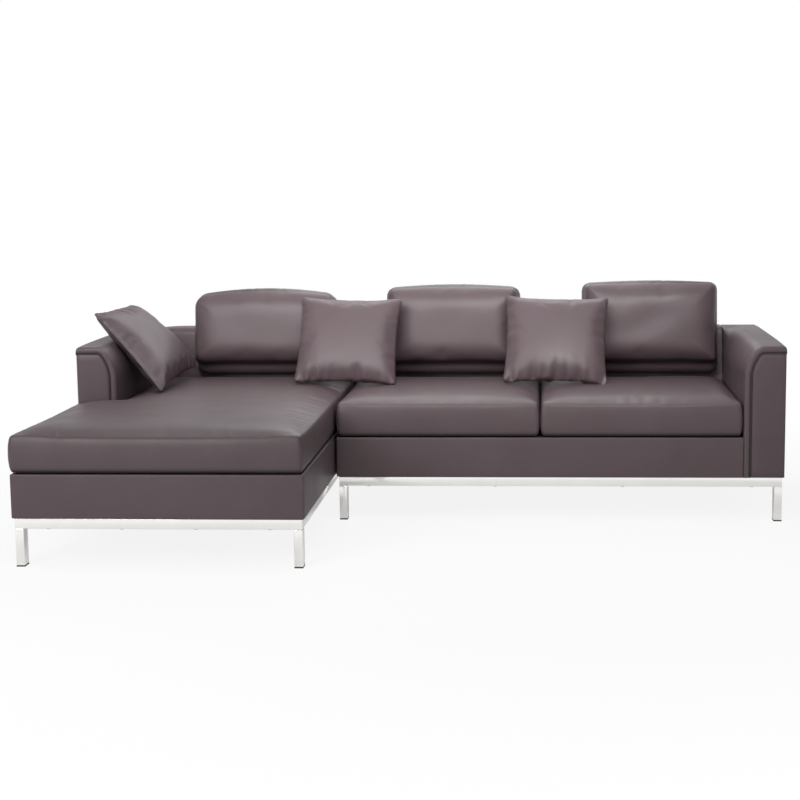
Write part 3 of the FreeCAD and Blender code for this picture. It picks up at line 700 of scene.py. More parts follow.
def math_node(tree, operation, first, second):
    """Arithmetic on two sockets or numbers."""
    node = tree.nodes.new("ShaderNodeMath")
    node.operation = operation
    for socket, value in zip(node.inputs, (first, second)):
        if isinstance(value, (int, float)):
            socket.default_value = value
        else:
            tree.links.new(value, socket)
    return node.outputs[0]


def mix_colour(tree, factor, first, second):
    """Blend two colours, each a socket or a value."""
    node = tree.nodes.new("ShaderNodeMix")
    node.data_type = "RGBA"
    sockets = (node.inputs[0], node.inputs[6], node.inputs[7])
    for socket, value in zip(sockets, (factor, first, second)):
        if isinstance(value, (int, float)):
            socket.default_value = value
        elif isinstance(value, bpy.types.NodeSocket):
            tree.links.new(value, socket)
        else:
            socket.default_value = (*value, 1.0)
    return node.outputs[2]


def surface(tree, values, colour, rough=None, normal=None):
    """Finish a material with a principled shader, its values and what is wired into it."""
    shader = add_node(tree, "ShaderNodeBsdfPrincipled", values)
    for socket, source in (("Base Color", colour), ("Roughness", rough), ("Normal", normal)):
        if source is not None:
            tree.links.new(source, shader.inputs[socket])
    finish_material(tree, shader)


def bump_from(tree, height, strength, depth):
    """Bent normal of a height pattern, by its strength and its depth."""
    bump = add_node(tree, "ShaderNodeBump", {"Strength": strength, "Distance": depth})
    tree.links.new(height, bump.inputs["Height"])
    return bump.outputs["Normal"]


def object_place(tree):
    """Place in the piece's own frame."""
    return tree.nodes.new("ShaderNodeTexCoord").outputs["Object"]


def make_group(name, inputs, outputs, build):
    """Shader group with named number inputs and named outputs, built once."""
    if name in bpy.data.node_groups:
        return bpy.data.node_groups[name]
    group = bpy.data.node_groups.new(name, "ShaderNodeTree")
    for label, default in inputs.items():
        socket = group.interface.new_socket(label, in_out="INPUT", socket_type="NodeSocketFloat")
        socket.default_value = default
    for label in outputs:
        group.interface.new_socket(label, in_out="OUTPUT", socket_type="NodeSocketFloat")
    source = group.nodes.new("NodeGroupInput")
    target = group.nodes.new("NodeGroupOutput")
    build(group, source.outputs, target.inputs)
    return group


def place_group(tree, group, **values):
    """Use a shader group, with values for its inputs."""
    node = tree.nodes.new("ShaderNodeGroup")
    node.node_tree = group
    for key, value in values.items():
        node.inputs[key.replace("_", " ")].default_value = value
    return node


def build_grain(group, given, wanted):
    """Pebbled grain: cells of a Voronoi pattern with creases between them, and a broad soft noise as a tone.
    """
    place = object_place(group)
    cells = add_node(group, "ShaderNodeTexVoronoi", feature="SMOOTH_F1", values={"Smoothness": 0.4})
    group.links.new(place, cells.inputs["Vector"])
    group.links.new(given["Scale"], cells.inputs["Scale"])
    fine = add_node(group, "ShaderNodeTexNoise", {"Scale": 900.0, "Detail": 2.0})
    broad = add_node(group, "ShaderNodeTexNoise", {"Scale": 7.0, "Detail": 3.0, "Roughness": 0.45})
    for node in (fine, broad):
        group.links.new(place, node.inputs["Vector"])
    pebbles = ramp(group, cells.outputs["Distance"], 0.1, 0.7, 1.0, 0.0)
    height = math_node(group, "MULTIPLY_ADD", fine.outputs["Fac"], 0.25)
    height.node.inputs[2].default_value = 0.0
    group.links.new(pebbles, height.node.inputs[2])
    group.links.new(height, wanted["Height"])
    group.links.new(broad.outputs["Fac"], wanted["Tone"])


def build_wear(group, given, wanted):
    """Wear and dust: where a smooth noise is high, from 0 to 1."""
    noise = add_node(group, "ShaderNodeTexNoise", {"Detail": 5.0, "Roughness": 0.55})
    group.links.new(object_place(group), noise.inputs["Vector"])
    group.links.new(given["Scale"], noise.inputs["Scale"])
    group.links.new(ramp(group, noise.outputs["Fac"], 0.35, 0.75), wanted["Mask"])


def grain_group():
    """Shared group of the leather's grain."""
    return make_group("Leather grain", {"Scale": 500.0}, ("Height", "Tone"), build_grain)


def wear_group():
    """Shared group of the wear mask."""
    return make_group("Wear", {"Scale": 5.0}, ("Mask",), build_wear)


def leather():
    """Mauve-brown leather: pebbled grain, uneven tone, rubbed patches, painted shade along the seams."""
    name = "sofa_leather"
    if name in bpy.data.materials:
        return bpy.data.materials[name]
    wanted = bpy.context.scene.sofa_leather
    material, tree = new_material(name)
    grain = place_group(tree, grain_group(), Scale=1 / wanted.pebble)
    wear = place_group(tree, wear_group(), Scale=4.0)
    seam = add_node(tree, "ShaderNodeAttribute", attribute_name="seam")
    tone = ramp(tree, grain.outputs["Tone"], 0.3, 0.7, 0.0, 0.35)
    rubbed = math_node(tree, "MULTIPLY", wear.outputs["Mask"], 0.45)
    shade = mix_colour(tree, math_node(tree, "ADD", tone, rubbed), tuple(wanted.colour), tuple(wanted.tint))
    # Painted shade: the seam attribute blends the leather towards the near-black seam shade colour along the
    # seams.
    colour = mix_colour(tree, seam.outputs["Fac"], shade, tuple(wanted.seam_shade_colour))
    rough = ramp(tree, wear.outputs["Mask"], 0.0, 1.0, wanted.roughness + 0.05, wanted.roughness - 0.06)
    normal = bump_from(tree, grain.outputs["Height"], 0.55, wanted.grain_depth)
    surface(tree, {"Specular IOR Level": 0.42}, colour, rough, normal)
    return material


def chrome():
    """Polished chrome with faint smudges in its gloss."""
    name = "sofa_chrome"
    if name in bpy.data.materials:
        return bpy.data.materials[name]
    wanted = bpy.context.scene.sofa_metal
    material, tree = new_material(name)
    wear = place_group(tree, wear_group(), Scale=9.0)
    rough = ramp(tree, wear.outputs["Mask"], 0.0, 1.0, wanted.roughness * 0.7, wanted.roughness * 1.6)
    tint = mix_colour(tree, wear.outputs["Mask"], tuple(wanted.colour),
                      tuple(0.95 * part for part in wanted.colour))
    surface(tree, {"Metallic": 1.0}, tint, rough)
    return material


def plain_material(name, colour, worn, roughness, metallic=0.0, scale=30.0, grain=(60.0, 0.0002)):
    """Finish with two tones in patches and a fine noise bump of a scale and a depth."""
    if name in bpy.data.materials:
        return bpy.data.materials[name]
    material, tree = new_material(name)
    wear = place_group(tree, wear_group(), Scale=scale)
    noise = add_node(tree, "ShaderNodeTexNoise", {"Scale": grain[0], "Detail": 4.0})
    tree.links.new(object_place(tree), noise.inputs["Vector"])
    normal = bump_from(tree, noise.outputs["Fac"], 0.5, grain[1])
    tone = mix_colour(tree, wear.outputs["Mask"], colour, worn)
    rough = ramp(tree, wear.outputs["Mask"], 0.0, 1.0, roughness, roughness * 1.25)
    surface(tree, {"Metallic": metallic}, tone, rough, normal)
    return material


def wood():
    """Sawn softwood: growth rings stretched along X, darker late wood."""
    name = "sofa_wood"
    if name in bpy.data.materials:
        return bpy.data.materials[name]
    material, tree = new_material(name)
    mapping = add_node(tree, "ShaderNodeMapping", {"Scale": (0.6, 9.0, 9.0)})
    tree.links.new(object_place(tree), mapping.inputs["Vector"])
    rings = add_node(tree, "ShaderNodeTexWave", {"Scale": 3.0, "Distortion": 6.0, "Detail": 3.0},
                     wave_type="RINGS", rings_direction="X")
    tree.links.new(mapping.outputs[0], rings.inputs["Vector"])
    normal = bump_from(tree, rings.outputs["Fac"], 0.3, 0.0004)
    tone = mix_colour(tree, rings.outputs["Fac"], (0.50, 0.33, 0.17), (0.36, 0.21, 0.10))
    surface(tree, {"Roughness": 0.62}, tone, normal=normal)
    return material


def woven(name, first, second, pitch, roughness):
    """Plain weave: two crossed waves whose product lifts one thread over the other."""
    if name in bpy.data.materials:
        return bpy.data.materials[name]
    material, tree = new_material(name)
    place = object_place(tree)
    waves = []
    for direction in ("X", "Y"):
        wave = add_node(tree, "ShaderNodeTexWave", {"Scale": 1 / pitch / 20},
                        bands_direction=direction)
        tree.links.new(place, wave.inputs["Vector"])
        waves.append(wave.outputs["Fac"])
    weave = math_node(tree, "MULTIPLY", *waves)
    normal = bump_from(tree, weave, 0.6, pitch * 0.3)
    surface(tree, {"Roughness": roughness}, mix_colour(tree, weave, first, second), normal=normal)
    return material


def glide_plastic():
    """Black plastic of the glides."""
    return plain_material("sofa_glide", (0.025, 0.025, 0.027), (0.05, 0.05, 0.052), 0.42)


def zinc_steel():
    """Zinc-plated steel of screws, bolts and plates."""
    return plain_material("sofa_steel", (0.55, 0.54, 0.50), (0.42, 0.41, 0.38), 0.32, metallic=1.0)


def foam():
    """Open-celled foam of the seat cores."""
    return plain_material("sofa_foam", (0.72, 0.66, 0.42), (0.62, 0.55, 0.33), 0.85,
                          grain=(700.0, 0.0008))


def piping_painted_shade():
    """Near-black leather of the piping, darkened as painted shade of the seam groove round it."""
    return plain_material("sofa_piping_painted_shade", (0.020, 0.013, 0.014), (0.032, 0.022, 0.024), 0.5,
                          grain=(700.0, 0.0002))


def webbing_cloth():
    """Coarse weave of the elastic bands."""
    return woven("sofa_webbing", (0.05, 0.045, 0.04), (0.16, 0.14, 0.12), 0.0030, 0.7)


def lining_cloth():
    """Fine black weave of the dust cloths and deck felts."""
    return woven("sofa_lining", (0.015, 0.014, 0.015), (0.05, 0.047, 0.048), 0.0015, 0.85)


# Pieces

def metal_piece(node, axis):
    """Chromed rail with rounded edges in the place of its node."""
    low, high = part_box(node)
    radius = bpy.context.scene.sofa_metal.edge
    points, faces = bar_arrays(low, high, radius, axis)
    piece = make_piece(node + "_tube", points, faces, chrome())
    return dress(piece, "root", "chrome", node)


def outer_pairs(values, pairs):
    """First and last of each even run of sorted values: the limits of equal solids in a row."""
    values = np.unique(np.round(values, 5))
    groups = values.reshape(pairs, -1)
    return groups[:, 0], groups[:, -1]


def node_points(node):
    """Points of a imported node's mesh."""
    mesh = frame["nodes"][node].data
    points = np.empty(len(mesh.vertices) * 3, np.float32)
    mesh.vertices.foreach_get("co", points)
    return points.reshape(-1, 3).astype(float)


def leg_piece(module):
    """Four chromed legs with rounded edges."""
    node = module + "_legs"
    points = node_points(node)
    x_low, x_high = outer_pairs(points[:, 0], 2)
    y_low, y_high = outer_pairs(points[:, 1], 2)
    z_low, z_high = points[:, 2].min(), points[:, 2].max()
    radius = bpy.context.scene.sofa_metal.edge
    parts = []
    for x0, x1 in zip(x_low, x_high):
        for y0, y1 in zip(y_low, y_high):
            parts.append(bar_arrays((x0, y0, z_low), (x1, y1, z_high), radius, 2))
    points, faces = joined(parts)
    piece = make_piece(module + "_chromed_legs", points, faces, chrome())
    return dress(piece, "root", "chrome", node)


def arm_outline(inset, inner_x, side, steps=14):
    """Arm outline from the foot of its inner face over the top to the foot of its outer face.

    Two tangent arcs join the inner face to the top; the larger radius R comes from the curve's
    width w and height h and the small radius r: R = (w^2 + h^2 - 2 h r) / (2 (w - r)).
    """
    width, height, small = ARM_CURVE_WIDTH, ARM_CURVE_HEIGHT, ARM_TOP_ARC
    large = (width ** 2 + height ** 2 - 2 * height * small) / (2 * (width - small))
    meet = math.atan2(height - small, large - width)
    low = np.linspace(0, meet, steps)
    high = np.linspace(meet, math.pi / 2, steps)[1:]
    x = np.concatenate([large - (large - inset) * np.cos(low), width - (small - inset) * np.cos(high)])
    z = np.concatenate([FRAME_TOP - height + (large - inset) * np.sin(low),
                        FRAME_TOP - small + (small - inset) * np.sin(high)])
    return inner_x + side * x, z


class Arm:
    """Places of one arm: side is 1 for the right and -1 for the left."""

    def __init__(self, name, side):
        low, high = node_box(name + "_arm_cover")
        panel_low, panel_high = node_box(name + "_arm_front_panel")
        self.name = name
        self.side = side
        self.outer = high[0] if side > 0 else low[0]
        self.inner = low[0] if side > 0 else high[0]
        self.front = low[1]
        self.back = high[1]
        self.base = low[2]
        self.front_base = panel_low[2]


def arm_section(arm, count_side=14, count_top=8, count_outer=16):
    """Arm outline with its inner face, top and outer face, evenly divided, and its inward ways."""
    curve_x, curve_z = arm_outline(0, arm.inner, arm.side)
    base_z = np.linspace(arm.base, curve_z[0], count_side)[:-1]
    edge = ARM_OUTER_EDGE
    top_x = np.linspace(curve_x[-1], arm.outer - arm.side * edge, count_top)[1:-1]
    turn = np.linspace(math.pi / 2, 0, 7)
    edge_x = arm.outer - arm.side * edge + arm.side * edge * np.cos(turn)
    edge_z = FRAME_TOP - edge + edge * np.sin(turn)
    seam_z = FRAME_TOP - SEAM_INSET
    upper = np.linspace(edge_z[-1], seam_z, 3)[1:]
    lower = np.linspace(seam_z, arm.base, count_outer)[1:]
    x = np.concatenate([np.full(len(base_z), arm.inner), curve_x, top_x, edge_x,
                        np.full(len(upper) + len(lower), arm.outer)])
    z = np.concatenate([base_z, curve_z, np.full(len(top_x), FRAME_TOP), edge_z, upper, lower])
    seam_x, seam_curve_z = arm_outline(SEAM_INSET, arm.inner, arm.side)
    target_x = np.concatenate([np.full(len(base_z), arm.inner + arm.side * SEAM_INSET), seam_x,
                               top_x, edge_x, np.full(len(upper) + len(lower), arm.outer)])
    target_z = np.concatenate([base_z, seam_curve_z, np.full(len(top_x), seam_z),
                               np.full(len(edge_z), seam_z), np.full(len(upper), seam_z), lower])
    return x, z, target_x, target_z


def rear_outline(arm, x, z, y):
    """Arm outline at a place along it: its inner curve fills out to a corner where it meets the back.

    The curve's first half goes up the inner face and its second half along the top, by a share
    t^2 (3 - 2 t) that grows from in front of the back's face to behind it.
    """
    width, height = ARM_CURVE_WIDTH, ARM_CURVE_HEIGHT
    t = float(np.clip((y - (BACK_Y - ARM_FILL_START)) / ARM_FILL_RUN, 0, 1))
    share = t * t * (3 - 2 * t)
    across = np.clip((x - arm.inner) * arm.side / width, 0, 1)
    up = np.clip((z - (FRAME_TOP - height)) / height, 0, 1)
    way = (across + up) / 2
    square_x = arm.inner + arm.side * width * np.clip(2 * way - 1, 0, 1)
    square_z = FRAME_TOP - height + height * np.clip(2 * way, 0, 1)
    inside = (across > 0) & (across < 1) & (up > 0)
    shape_x = np.where(inside, x + (square_x - x) * share, x)
    shape_z = np.where(inside, z + (square_z - z) * share, z)
    return shape_x, shape_z


def arm_cover_piece(arm):
    """Leather shell of an arm: its outline carried from the front seam to the back.

    The front strip runs from the seam out to the outline, turns a quarter circle of the edge's
    radius, and the shell then runs back; the top swells by puff * (1 - v^4) along the arm.
    """
    x, z, seam_x, seam_z = arm_section(arm)
    radius = ARM_FRONT_RADIUS
    rear = ARM_REAR_RADIUS
    inward_x, inward_z = seam_x - x, seam_z - z
    strip = np.hypot(inward_x, inward_z)
    unit_x = np.where(strip > MERGE, inward_x / np.maximum(strip, MERGE), -arm.side)
    unit_z = np.where(strip > MERGE, inward_z / np.maximum(strip, MERGE), 0)
    lines = []
    dips = (0.0045, 0.0010, 0.0)
    shares = (1.0, 0.86, 0.66)
    for share, dip in zip(shares, dips):
        reach = np.maximum(strip * share, radius)
        lines.append((x + unit_x * reach, np.full_like(x, arm.front + dip), z + unit_z * reach))
    for t in np.linspace(0, math.pi / 2, 5):
        inset = radius * (1 - math.sin(t))
        lines.append((x + unit_x * inset, np.full_like(x, arm.front + radius * (1 - math.cos(t))),
                      z + unit_z * inset))
    start, end = arm.front + radius, arm.back - rear
    centre = (start + end) / 2
    for y in np.linspace(start, end, 36)[1:-1]:
        puff = ARM_TOP_PUFF * (1 - ((y - centre) / (end - centre)) ** 4)
        lift = np.clip((z - (FRAME_TOP - 0.10)) / 0.10, 0, 1)
        shape_x, shape_z = rear_outline(arm, x, z, y)
        lines.append((shape_x, np.full_like(x, y), shape_z + puff * lift))
    shape_x, shape_z = rear_outline(arm, x, z, arm.back)
    for t in np.linspace(0, math.pi / 2, 6):
        inset = rear * (1 - math.cos(t))
        lines.append((shape_x + unit_x * inset, np.full_like(x, end + rear * math.sin(t)),
                      shape_z + unit_z * inset))
    middle_x = (arm.inner + arm.outer) / 2
    half = np.linspace(1, 0, 4)[1:]
    last_x, last_y, last_z = lines[-1]
    for share in half:
        lines.append((middle_x + (last_x - middle_x) * share, last_y, last_z))
    points = np.stack([np.stack(line, 1) for line in lines])
    rows, columns = points.shape[:2]
    faces = grid_quads(rows, columns)
    piece = make_piece(arm.name + "_arm_leather", points.reshape(-1, 3), [faces], leather(), sharp=False)
    # Painted shade along the front seam: the first two rows darken the leather towards the seam shade
    # colour.
    seam = np.zeros((rows, columns))
    seam[0] = 0.9
    seam[1] = 0.25
    seam[:2] *= strip > radius
    set_values(piece, "seam", seam.ravel())
    tidy_mesh(piece)
    subdivide(piece)
    return dress(piece, "root", "leather", arm.name + "_arm_cover")


def front_panel_piece(arm):
    """Padded front of an arm: rows at the heights of its outline, from the inner curve to the outer side.

    It stands puff * (1 - (1 - d / run)^3) forward at a distance d from its outline.
    """
    inset = SEAM_INSET + PANEL_GAP
    curve_x, curve_z = arm_outline(inset, arm.inner, arm.side, steps=12)
    low = np.linspace(arm.front_base, curve_z[0], 16)[:-1]
    edge_x = np.concatenate([np.full(len(low), arm.inner + arm.side * inset), curve_x])
    edge_z = np.concatenate([low, curve_z])
    share = np.concatenate([[0, 0.04, 0.1], np.linspace(0.2, 0.9, 8), [0.96, 1.0]])
    x = edge_x[:, None] + (arm.outer - edge_x)[:, None] * share
    z = np.repeat(edge_z[:, None], len(share), 1)
    segments = np.stack([edge_x, edge_z], 1)
    spots = np.stack([x.ravel(), z.ravel()], 1)
    distance = np.linalg.norm(spots[:, None] - segments[None], axis=-1).min(1).reshape(x.shape)
    distance = np.minimum(distance, np.maximum(edge_z[-1] - z, 0))
    side_turn = np.abs(arm.outer - x)
    radius = PANEL_RADIUS
    roll = radius - np.sqrt(np.maximum(radius ** 2 - np.clip(radius - side_turn, 0, radius) ** 2, 0))
    puff = PANEL_PUFF * (1 - (1 - np.clip(distance / PANEL_RUN, 0, 1)) ** 3)
    y = arm.front + PANEL_PUFF - puff + roll
    front = np.stack([x, y, z], -1)
    back = front.copy()
    back[..., 1] = arm.front + PANEL_DEPTH
    points = np.concatenate([front.reshape(-1, 3), back.reshape(-1, 3)])
    piece = make_piece(arm.name + "_arm_front_leather", points, slab_faces(*x.shape), leather(),
                       sharp=False)
    tidy_mesh(piece)
    subdivide(piece)
    return dress(piece, "root", "leather", arm.name + "_arm_front_panel")


def tube_arrays(path, radius, sides=8):
    """Round tube along a path of points: circle of cosine and sine about each point, closed ends.

    The circle lies across the path's way, on two unit vectors square to it.
    """
    way = np.gradient(path, axis=0)
    way /= np.linalg.norm(way, axis=1, keepdims=True)
    first = np.cross(way, (0.0, 1.0, 0.0))
    small = np.linalg.norm(first, axis=1) < 1e-3
    first[small] = np.cross(way[small], (1.0, 0.0, 0.0))
    first /= np.linalg.norm(first, axis=1, keepdims=True)
    second = np.cross(way, first)
    angle = np.arange(sides) * 2 * math.pi / sides
    ring = (np.cos(angle)[:, None] * first[:, None] + np.sin(angle)[:, None] * second[:, None]) * radius
    points = (path[:, None] + ring).reshape(-1, 3)
    sides_faces = grid_quads(len(path), sides, wrap_columns=True)
    caps = np.array([np.arange(sides)[::-1], np.arange(sides) + sides * (len(path) - 1)])
    return points, [sides_faces, caps]


def welt_piece(arm):
    """Leather piping in the seam round the front panel of an arm."""
    inset = SEAM_INSET + WELT_INSET
    x, z = arm_outline(inset, arm.inner, arm.side, steps=20)
    low = np.linspace(arm.front_base, z[0], 16)[:-1]
    x = np.concatenate([np.full(len(low), x[0]), x, np.linspace(x[-1], arm.outer, 8)[1:]])
    z = np.concatenate([low, z, np.full(7, z[-1])])
    path = np.stack([x, np.full_like(x, arm.front + WELT_SETBACK), z], 1)
    points, faces = tube_arrays(path, WELT_RADIUS)
    # The piping's near-black colour is painted shade of the seam groove.
    piece = make_piece(arm.name + "_arm_piping", points, faces, piping_painted_shade(), sharp=False)
    tidy_mesh(piece)
    return dress(piece, "root", "welt", arm.name + "_arm_welt")


def back_piece(module):
    """Padded back of a module: its side outline carried across, the front swelling a little."""
    node = module + "_back_cover"
    low, high = node_box(node)
    radius = BACK_FRONT_RADIUS
    tangent = radius * math.tan((math.pi / 2 - RAKE) / 2)
    foot_z, top = low[2], high[2]
    corner_y = back_face(top)
    start = np.array([corner_y - tangent * math.sin(RAKE), top - tangent * math.cos(RAKE)])
    centre = np.array([corner_y + tangent, top - radius])
    angle = np.linspace(math.pi - RAKE, math.pi / 2, 8)
    arc_y = centre[0] + radius * np.cos(angle)
    arc_z = centre[1] + radius * np.sin(angle)
    front_z = np.linspace(foot_z, start[1], 9)[:-1]
    front_y = back_face(front_z)
    rear_edge = BACK_REAR_RADIUS
    turn = np.linspace(math.pi / 2, 0, 5)
    rear_y = high[1] - rear_edge + rear_edge * np.cos(turn)
    rear_z = top - rear_edge + rear_edge * np.sin(turn)
    top_y = np.linspace(arc_y[-1], rear_y[0], 4)[1:-1]
    lip = top - BACK_LIP
    behind = high[1] - BACK_LIP_DEPTH
    y = np.concatenate([front_y, arc_y, top_y, rear_y, [high[1], behind, behind]])
    z = np.concatenate([front_z, arc_z, np.full(len(top_y), top), rear_z, [lip, lip, foot_z]])
    count = len(y)
    columns = max(12, round((high[0] - low[0]) / 0.05))
    middle = (low[0] + high[0]) / 2
    xs = np.linspace(low[0], high[0], columns + 1)
    wave = smooth_noise(xs, xs * 0, 5, 0.35) * 0.0012
    rise = np.clip((z - (top - 0.06)) / 0.06, 0, 1)
    points = np.empty((columns + 1, count, 3))
    points[..., 0] = xs[:, None]
    points[..., 1] = y
    level = 1 - ((xs[:, None] - middle) / (high[0] - middle)) ** 8
    points[..., 2] = z + (0.003 + wave[:, None]) * rise * level
    faces = grid_quads(columns + 1, count, wrap_columns=True)
    caps = np.array([np.arange(count), np.arange(count)[::-1] + count * columns])
    piece = make_piece(module + "_back_leather", points.reshape(-1, 3), [faces, caps], leather())
    tidy_mesh(piece)
    piece.data.set_sharp_from_angle(angle=SHARP_ANGLE)
    return dress(piece, "root", "leather", node)


def panel_piece(node):
    """Padded base panel, pressed against the arm that it ends at."""
    low, high = node_box(node)
    if node == "sofa_front_panel":
        high[0] = ARM_RIGHT_LOW[0] + 0.0015
    piece = soft_pad(node + "_leather", low, high, 0.004, 0.0012, leather())
    subdivide(piece)
    return dress(piece, "root", "leather", node)


def plan_outline(low, high, arm=None):
    """Rectangle between two corners, or the L that goes round an arm's place at its rear left."""
    x0, y0, x1, y1 = low[0], low[1], high[0], high[1]
    if arm is None:
        return [(x0, y0), (x1, y0), (x1, y1), (x0, y1)]
    return [(x0, y0), (x1, y0), (x1, y1), (arm[0], y1), (arm[0], arm[1]), (x0, arm[1])]


def seat_outline(name):
    """Plan outline of a seat cushion, from its node's box and, on the chaise, the arm's place."""
    low, high = node_box(name + "_seat_cushion")
    arm = (ARM_LEFT_HIGH[0] + SMALL_GAP, ARM_LEFT_LOW[1] - 2 * SMALL_GAP)
    return plan_outline(low, high, arm if name == "chaise" else None)


def seat_block(corners, z0, z1, seed):
    """Seat cushion: flat below, sides standing out between their seams, top crowned.

    The top rises above its seam as crown() of the distance from the outline; the sides stand out
    by bulge * sin(pi t)^0.7 at a height share t.
    """
    wanted = bpy.context.scene.sofa_seat
    inner = inset_outline(corners, wanted.bulge)
    x, y, layer, sheet, faces = lattice(inner, wanted.cell, EDGE_CELL, BAND_ROWS)
    distance = outline_distance(x, y, inner)
    out_x, out_y = side_ways(x, y, inner)
    bulge = side_bulge(wanted.bulge, layer, sheet)
    x, y = round_corners(x, y, inner, wanted.corner)
    x = x + out_x * bulge
    y = y + out_y * bulge
    x = x - wanted.overhang * np.clip((CAD_LOW[0] + 0.06 - x) / 0.06, 0, 1)
    seam_z = z1 - wanted.crown
    bottom_lift = 0.006 * (1 - np.clip(distance / 0.02, 0, 1)) ** 2
    lower_seam = z0 + 0.006
    z = np.where(sheet == 1, seam_z + crown(distance, wanted.crown, wanted.crown_run),
                 np.where(sheet == 0, z0 + bottom_lift, lower_seam + (seam_z - lower_seam) * layer))
    soft = smooth_noise(x, y, seed, 0.45) * 0.0012 * np.clip(distance / 0.05, 0, 1)
    z = z + np.where(sheet == 1, soft, 0)
    points = np.stack([x, y, z], 1)
    faces = face_out(points, faces)
    held = np.where(sheet == 0, 1.0, np.where(distance < 0.001, 0.6, 0.0))
    points = stuff(points, faces, held, wanted.swell, **SEAT_STUFFING)
    points[:, 2] = np.maximum(points[:, 2], z0)
    return points, faces, distance, sheet, layer


def inset_outline(corners, inset):
    """Right-angled outline moved in by inset."""
    corner = np.array(corners, float)
    way = np.sign(np.roll(corner, -1, axis=0) - corner)
    before = np.roll(way, 1, axis=0)
    left = np.stack([-way[:, 1], way[:, 0]], 1) + np.stack([-before[:, 1], before[:, 0]], 1)
    return [tuple(place) for place in corner + left * inset]


def side_ways(x, y, corners):
    """Way out of the outline's nearest side at each point, blended at the corners."""
    near, way = side_distances(x, y, corners)
    normal = np.stack([way[:, 1], -way[:, 0]], 1) / np.linalg.norm(way, axis=1, keepdims=True)
    weight = bell(near, SEAM_REACH) + 1e-12
    out = (weight[..., None] * normal).sum(1)
    out = out / np.maximum(np.linalg.norm(out, axis=1, keepdims=True), MERGE)
    return out[:, 0], out[:, 1]


def seam_dip(points, faces, nearness, depth):
    """Draw the cover in along its seams, by depth where nearness is 1."""
    return points - outward_normals(points, faces) * (depth * nearness)[:, None]


def seat_piece(name, seed):
    """Seat cushion with sewn seams round its top and foot."""
    node = name + "_seat_cushion"
    low, high = node_box(node)
    corners = seat_outline(name)
    points, faces, distance, sheet, layer = seat_block(corners, low[2], high[2], seed)
    beside = bell(distance, SEAM_REACH)
    top_seam = SEAT_TOP_SEAM * np.where(sheet == 1, beside, bell(1 - layer, SEAM_LAYER))
    foot_seam = np.where(sheet == 0, beside, bell(layer, SEAM_LAYER))
    band = np.maximum(top_seam, foot_seam)
    nearness = np.where(sheet == 0, foot_seam, np.where(sheet == 1, top_seam, band))
    points = seam_dip(points, faces, nearness, 0.0015)
    piece = make_piece(node + "_leather", points, [faces], leather(), sharp=False)
    # The seam values are painted shade: the leather darkens along the top and foot seams.
    set_values(piece, "seam", nearness * SEAM_PAINTED_SHADE)
    subdivide(piece)
    return dress(piece, name + "_seat", "leather", node)


def block_piece(node, corners, z0, z1, material, slot, body, name):
    """Plain cut block of foam or felt with softly rounded edges, over an outline."""
    x, y, layer, sheet, faces = lattice(corners, 0.05, 0.006, 4)
    distance = outline_distance(x, y, corners)
    x, y = round_corners(x, y, corners, 0.010)
    ease = BLOCK_EASE * (1 - np.clip(distance / (2 * BLOCK_EASE), 0, 1)) ** 2
    side_z = z0 + BLOCK_EASE + (z1 - z0 - 2 * BLOCK_EASE) * layer
    z = np.where(sheet == 1, z1 - ease, np.where(sheet == 0, z0 + ease, side_z))
    points = np.stack([x, y, z], 1)
    piece = make_piece(name, points, [face_out(points, faces)], material, sharp=False)
    subdivide(piece)
    return dress(piece, body, slot, node)


def core_piece(name):
    """Foam block inside a seat cushion."""
    node = name + "_seat_core"
    low, high = node_box(node)
    corners = inset_outline(seat_outline(name), 0.026)
    return block_piece(node, corners, low[2], high[2], foam(), "foam", name + "_seat",
                       name + "_foam_core")


def deck_piece(module):
    """Felt pad over the webbing of a module."""
    node = module + "_deck_pad"
    low, high = node_box(node)
    arm = (ARM_LEFT_HIGH[0], ARM_LEFT_LOW[1])
    corners = plan_outline(low, high, arm if module == "chaise" else None)
    return block_piece(node, corners, low[2], high[2], lining_cloth(), "lining", "root",
                       module + "_deck_felt")


def dust_cloth_piece(module):
    """Thin black cloth stretched under a module, sagging a little between its edges.

    It sags by sag * (1 - u^2) * (1 - v^2), u and v running from -1 to 1 across it.
    """
    node = module + "_dust_cloth"
    low, high = node_box(node)
    u, v = np.meshgrid(np.linspace(-1, 1, 25), np.linspace(-1, 1, 33), indexing="ij")
    sag = 0.002 * (1 - u ** 2) * (1 - v ** 2)
    middle = (low + high) / 2
    half = (high - low) / 2
    x = middle[0] + u * half[0]
    y = middle[1] + v * half[1]
    under = np.stack([x, y, low[2] - sag], -1).reshape(-1, 3)
    over = under + (0, 0, 0.0008)
    piece = make_piece(module + "_under_cloth", np.concatenate([under, over]),
                       slab_faces(*u.shape), lining_cloth(), sharp=False)
    tidy_mesh(piece)
    return dress(piece, "root", "lining", node)


def webbing_piece(module):
    """Elastic bands with soft edges."""
    node = module + "_webbing"
    points = node_points(node)
    values = np.unique(np.round(points[:, 0], 4))
    lows, highs = values[::2], values[1::2]
    y0, y1 = points[:, 1].min(), points[:, 1].max()
    z0, z1 = points[:, 2].min(), points[:, 2].max()
    parts = [bar_arrays((a, y0, z0), (b, y1, z1), (z1 - z0) * 0.45, 1, steps=2)
             for a, b in zip(lows, highs)]
    points, faces = joined(parts)
    piece = make_piece(module + "_elastic_bands", points, faces, webbing_cloth())
    return dress(piece, "root", "webbing", node)


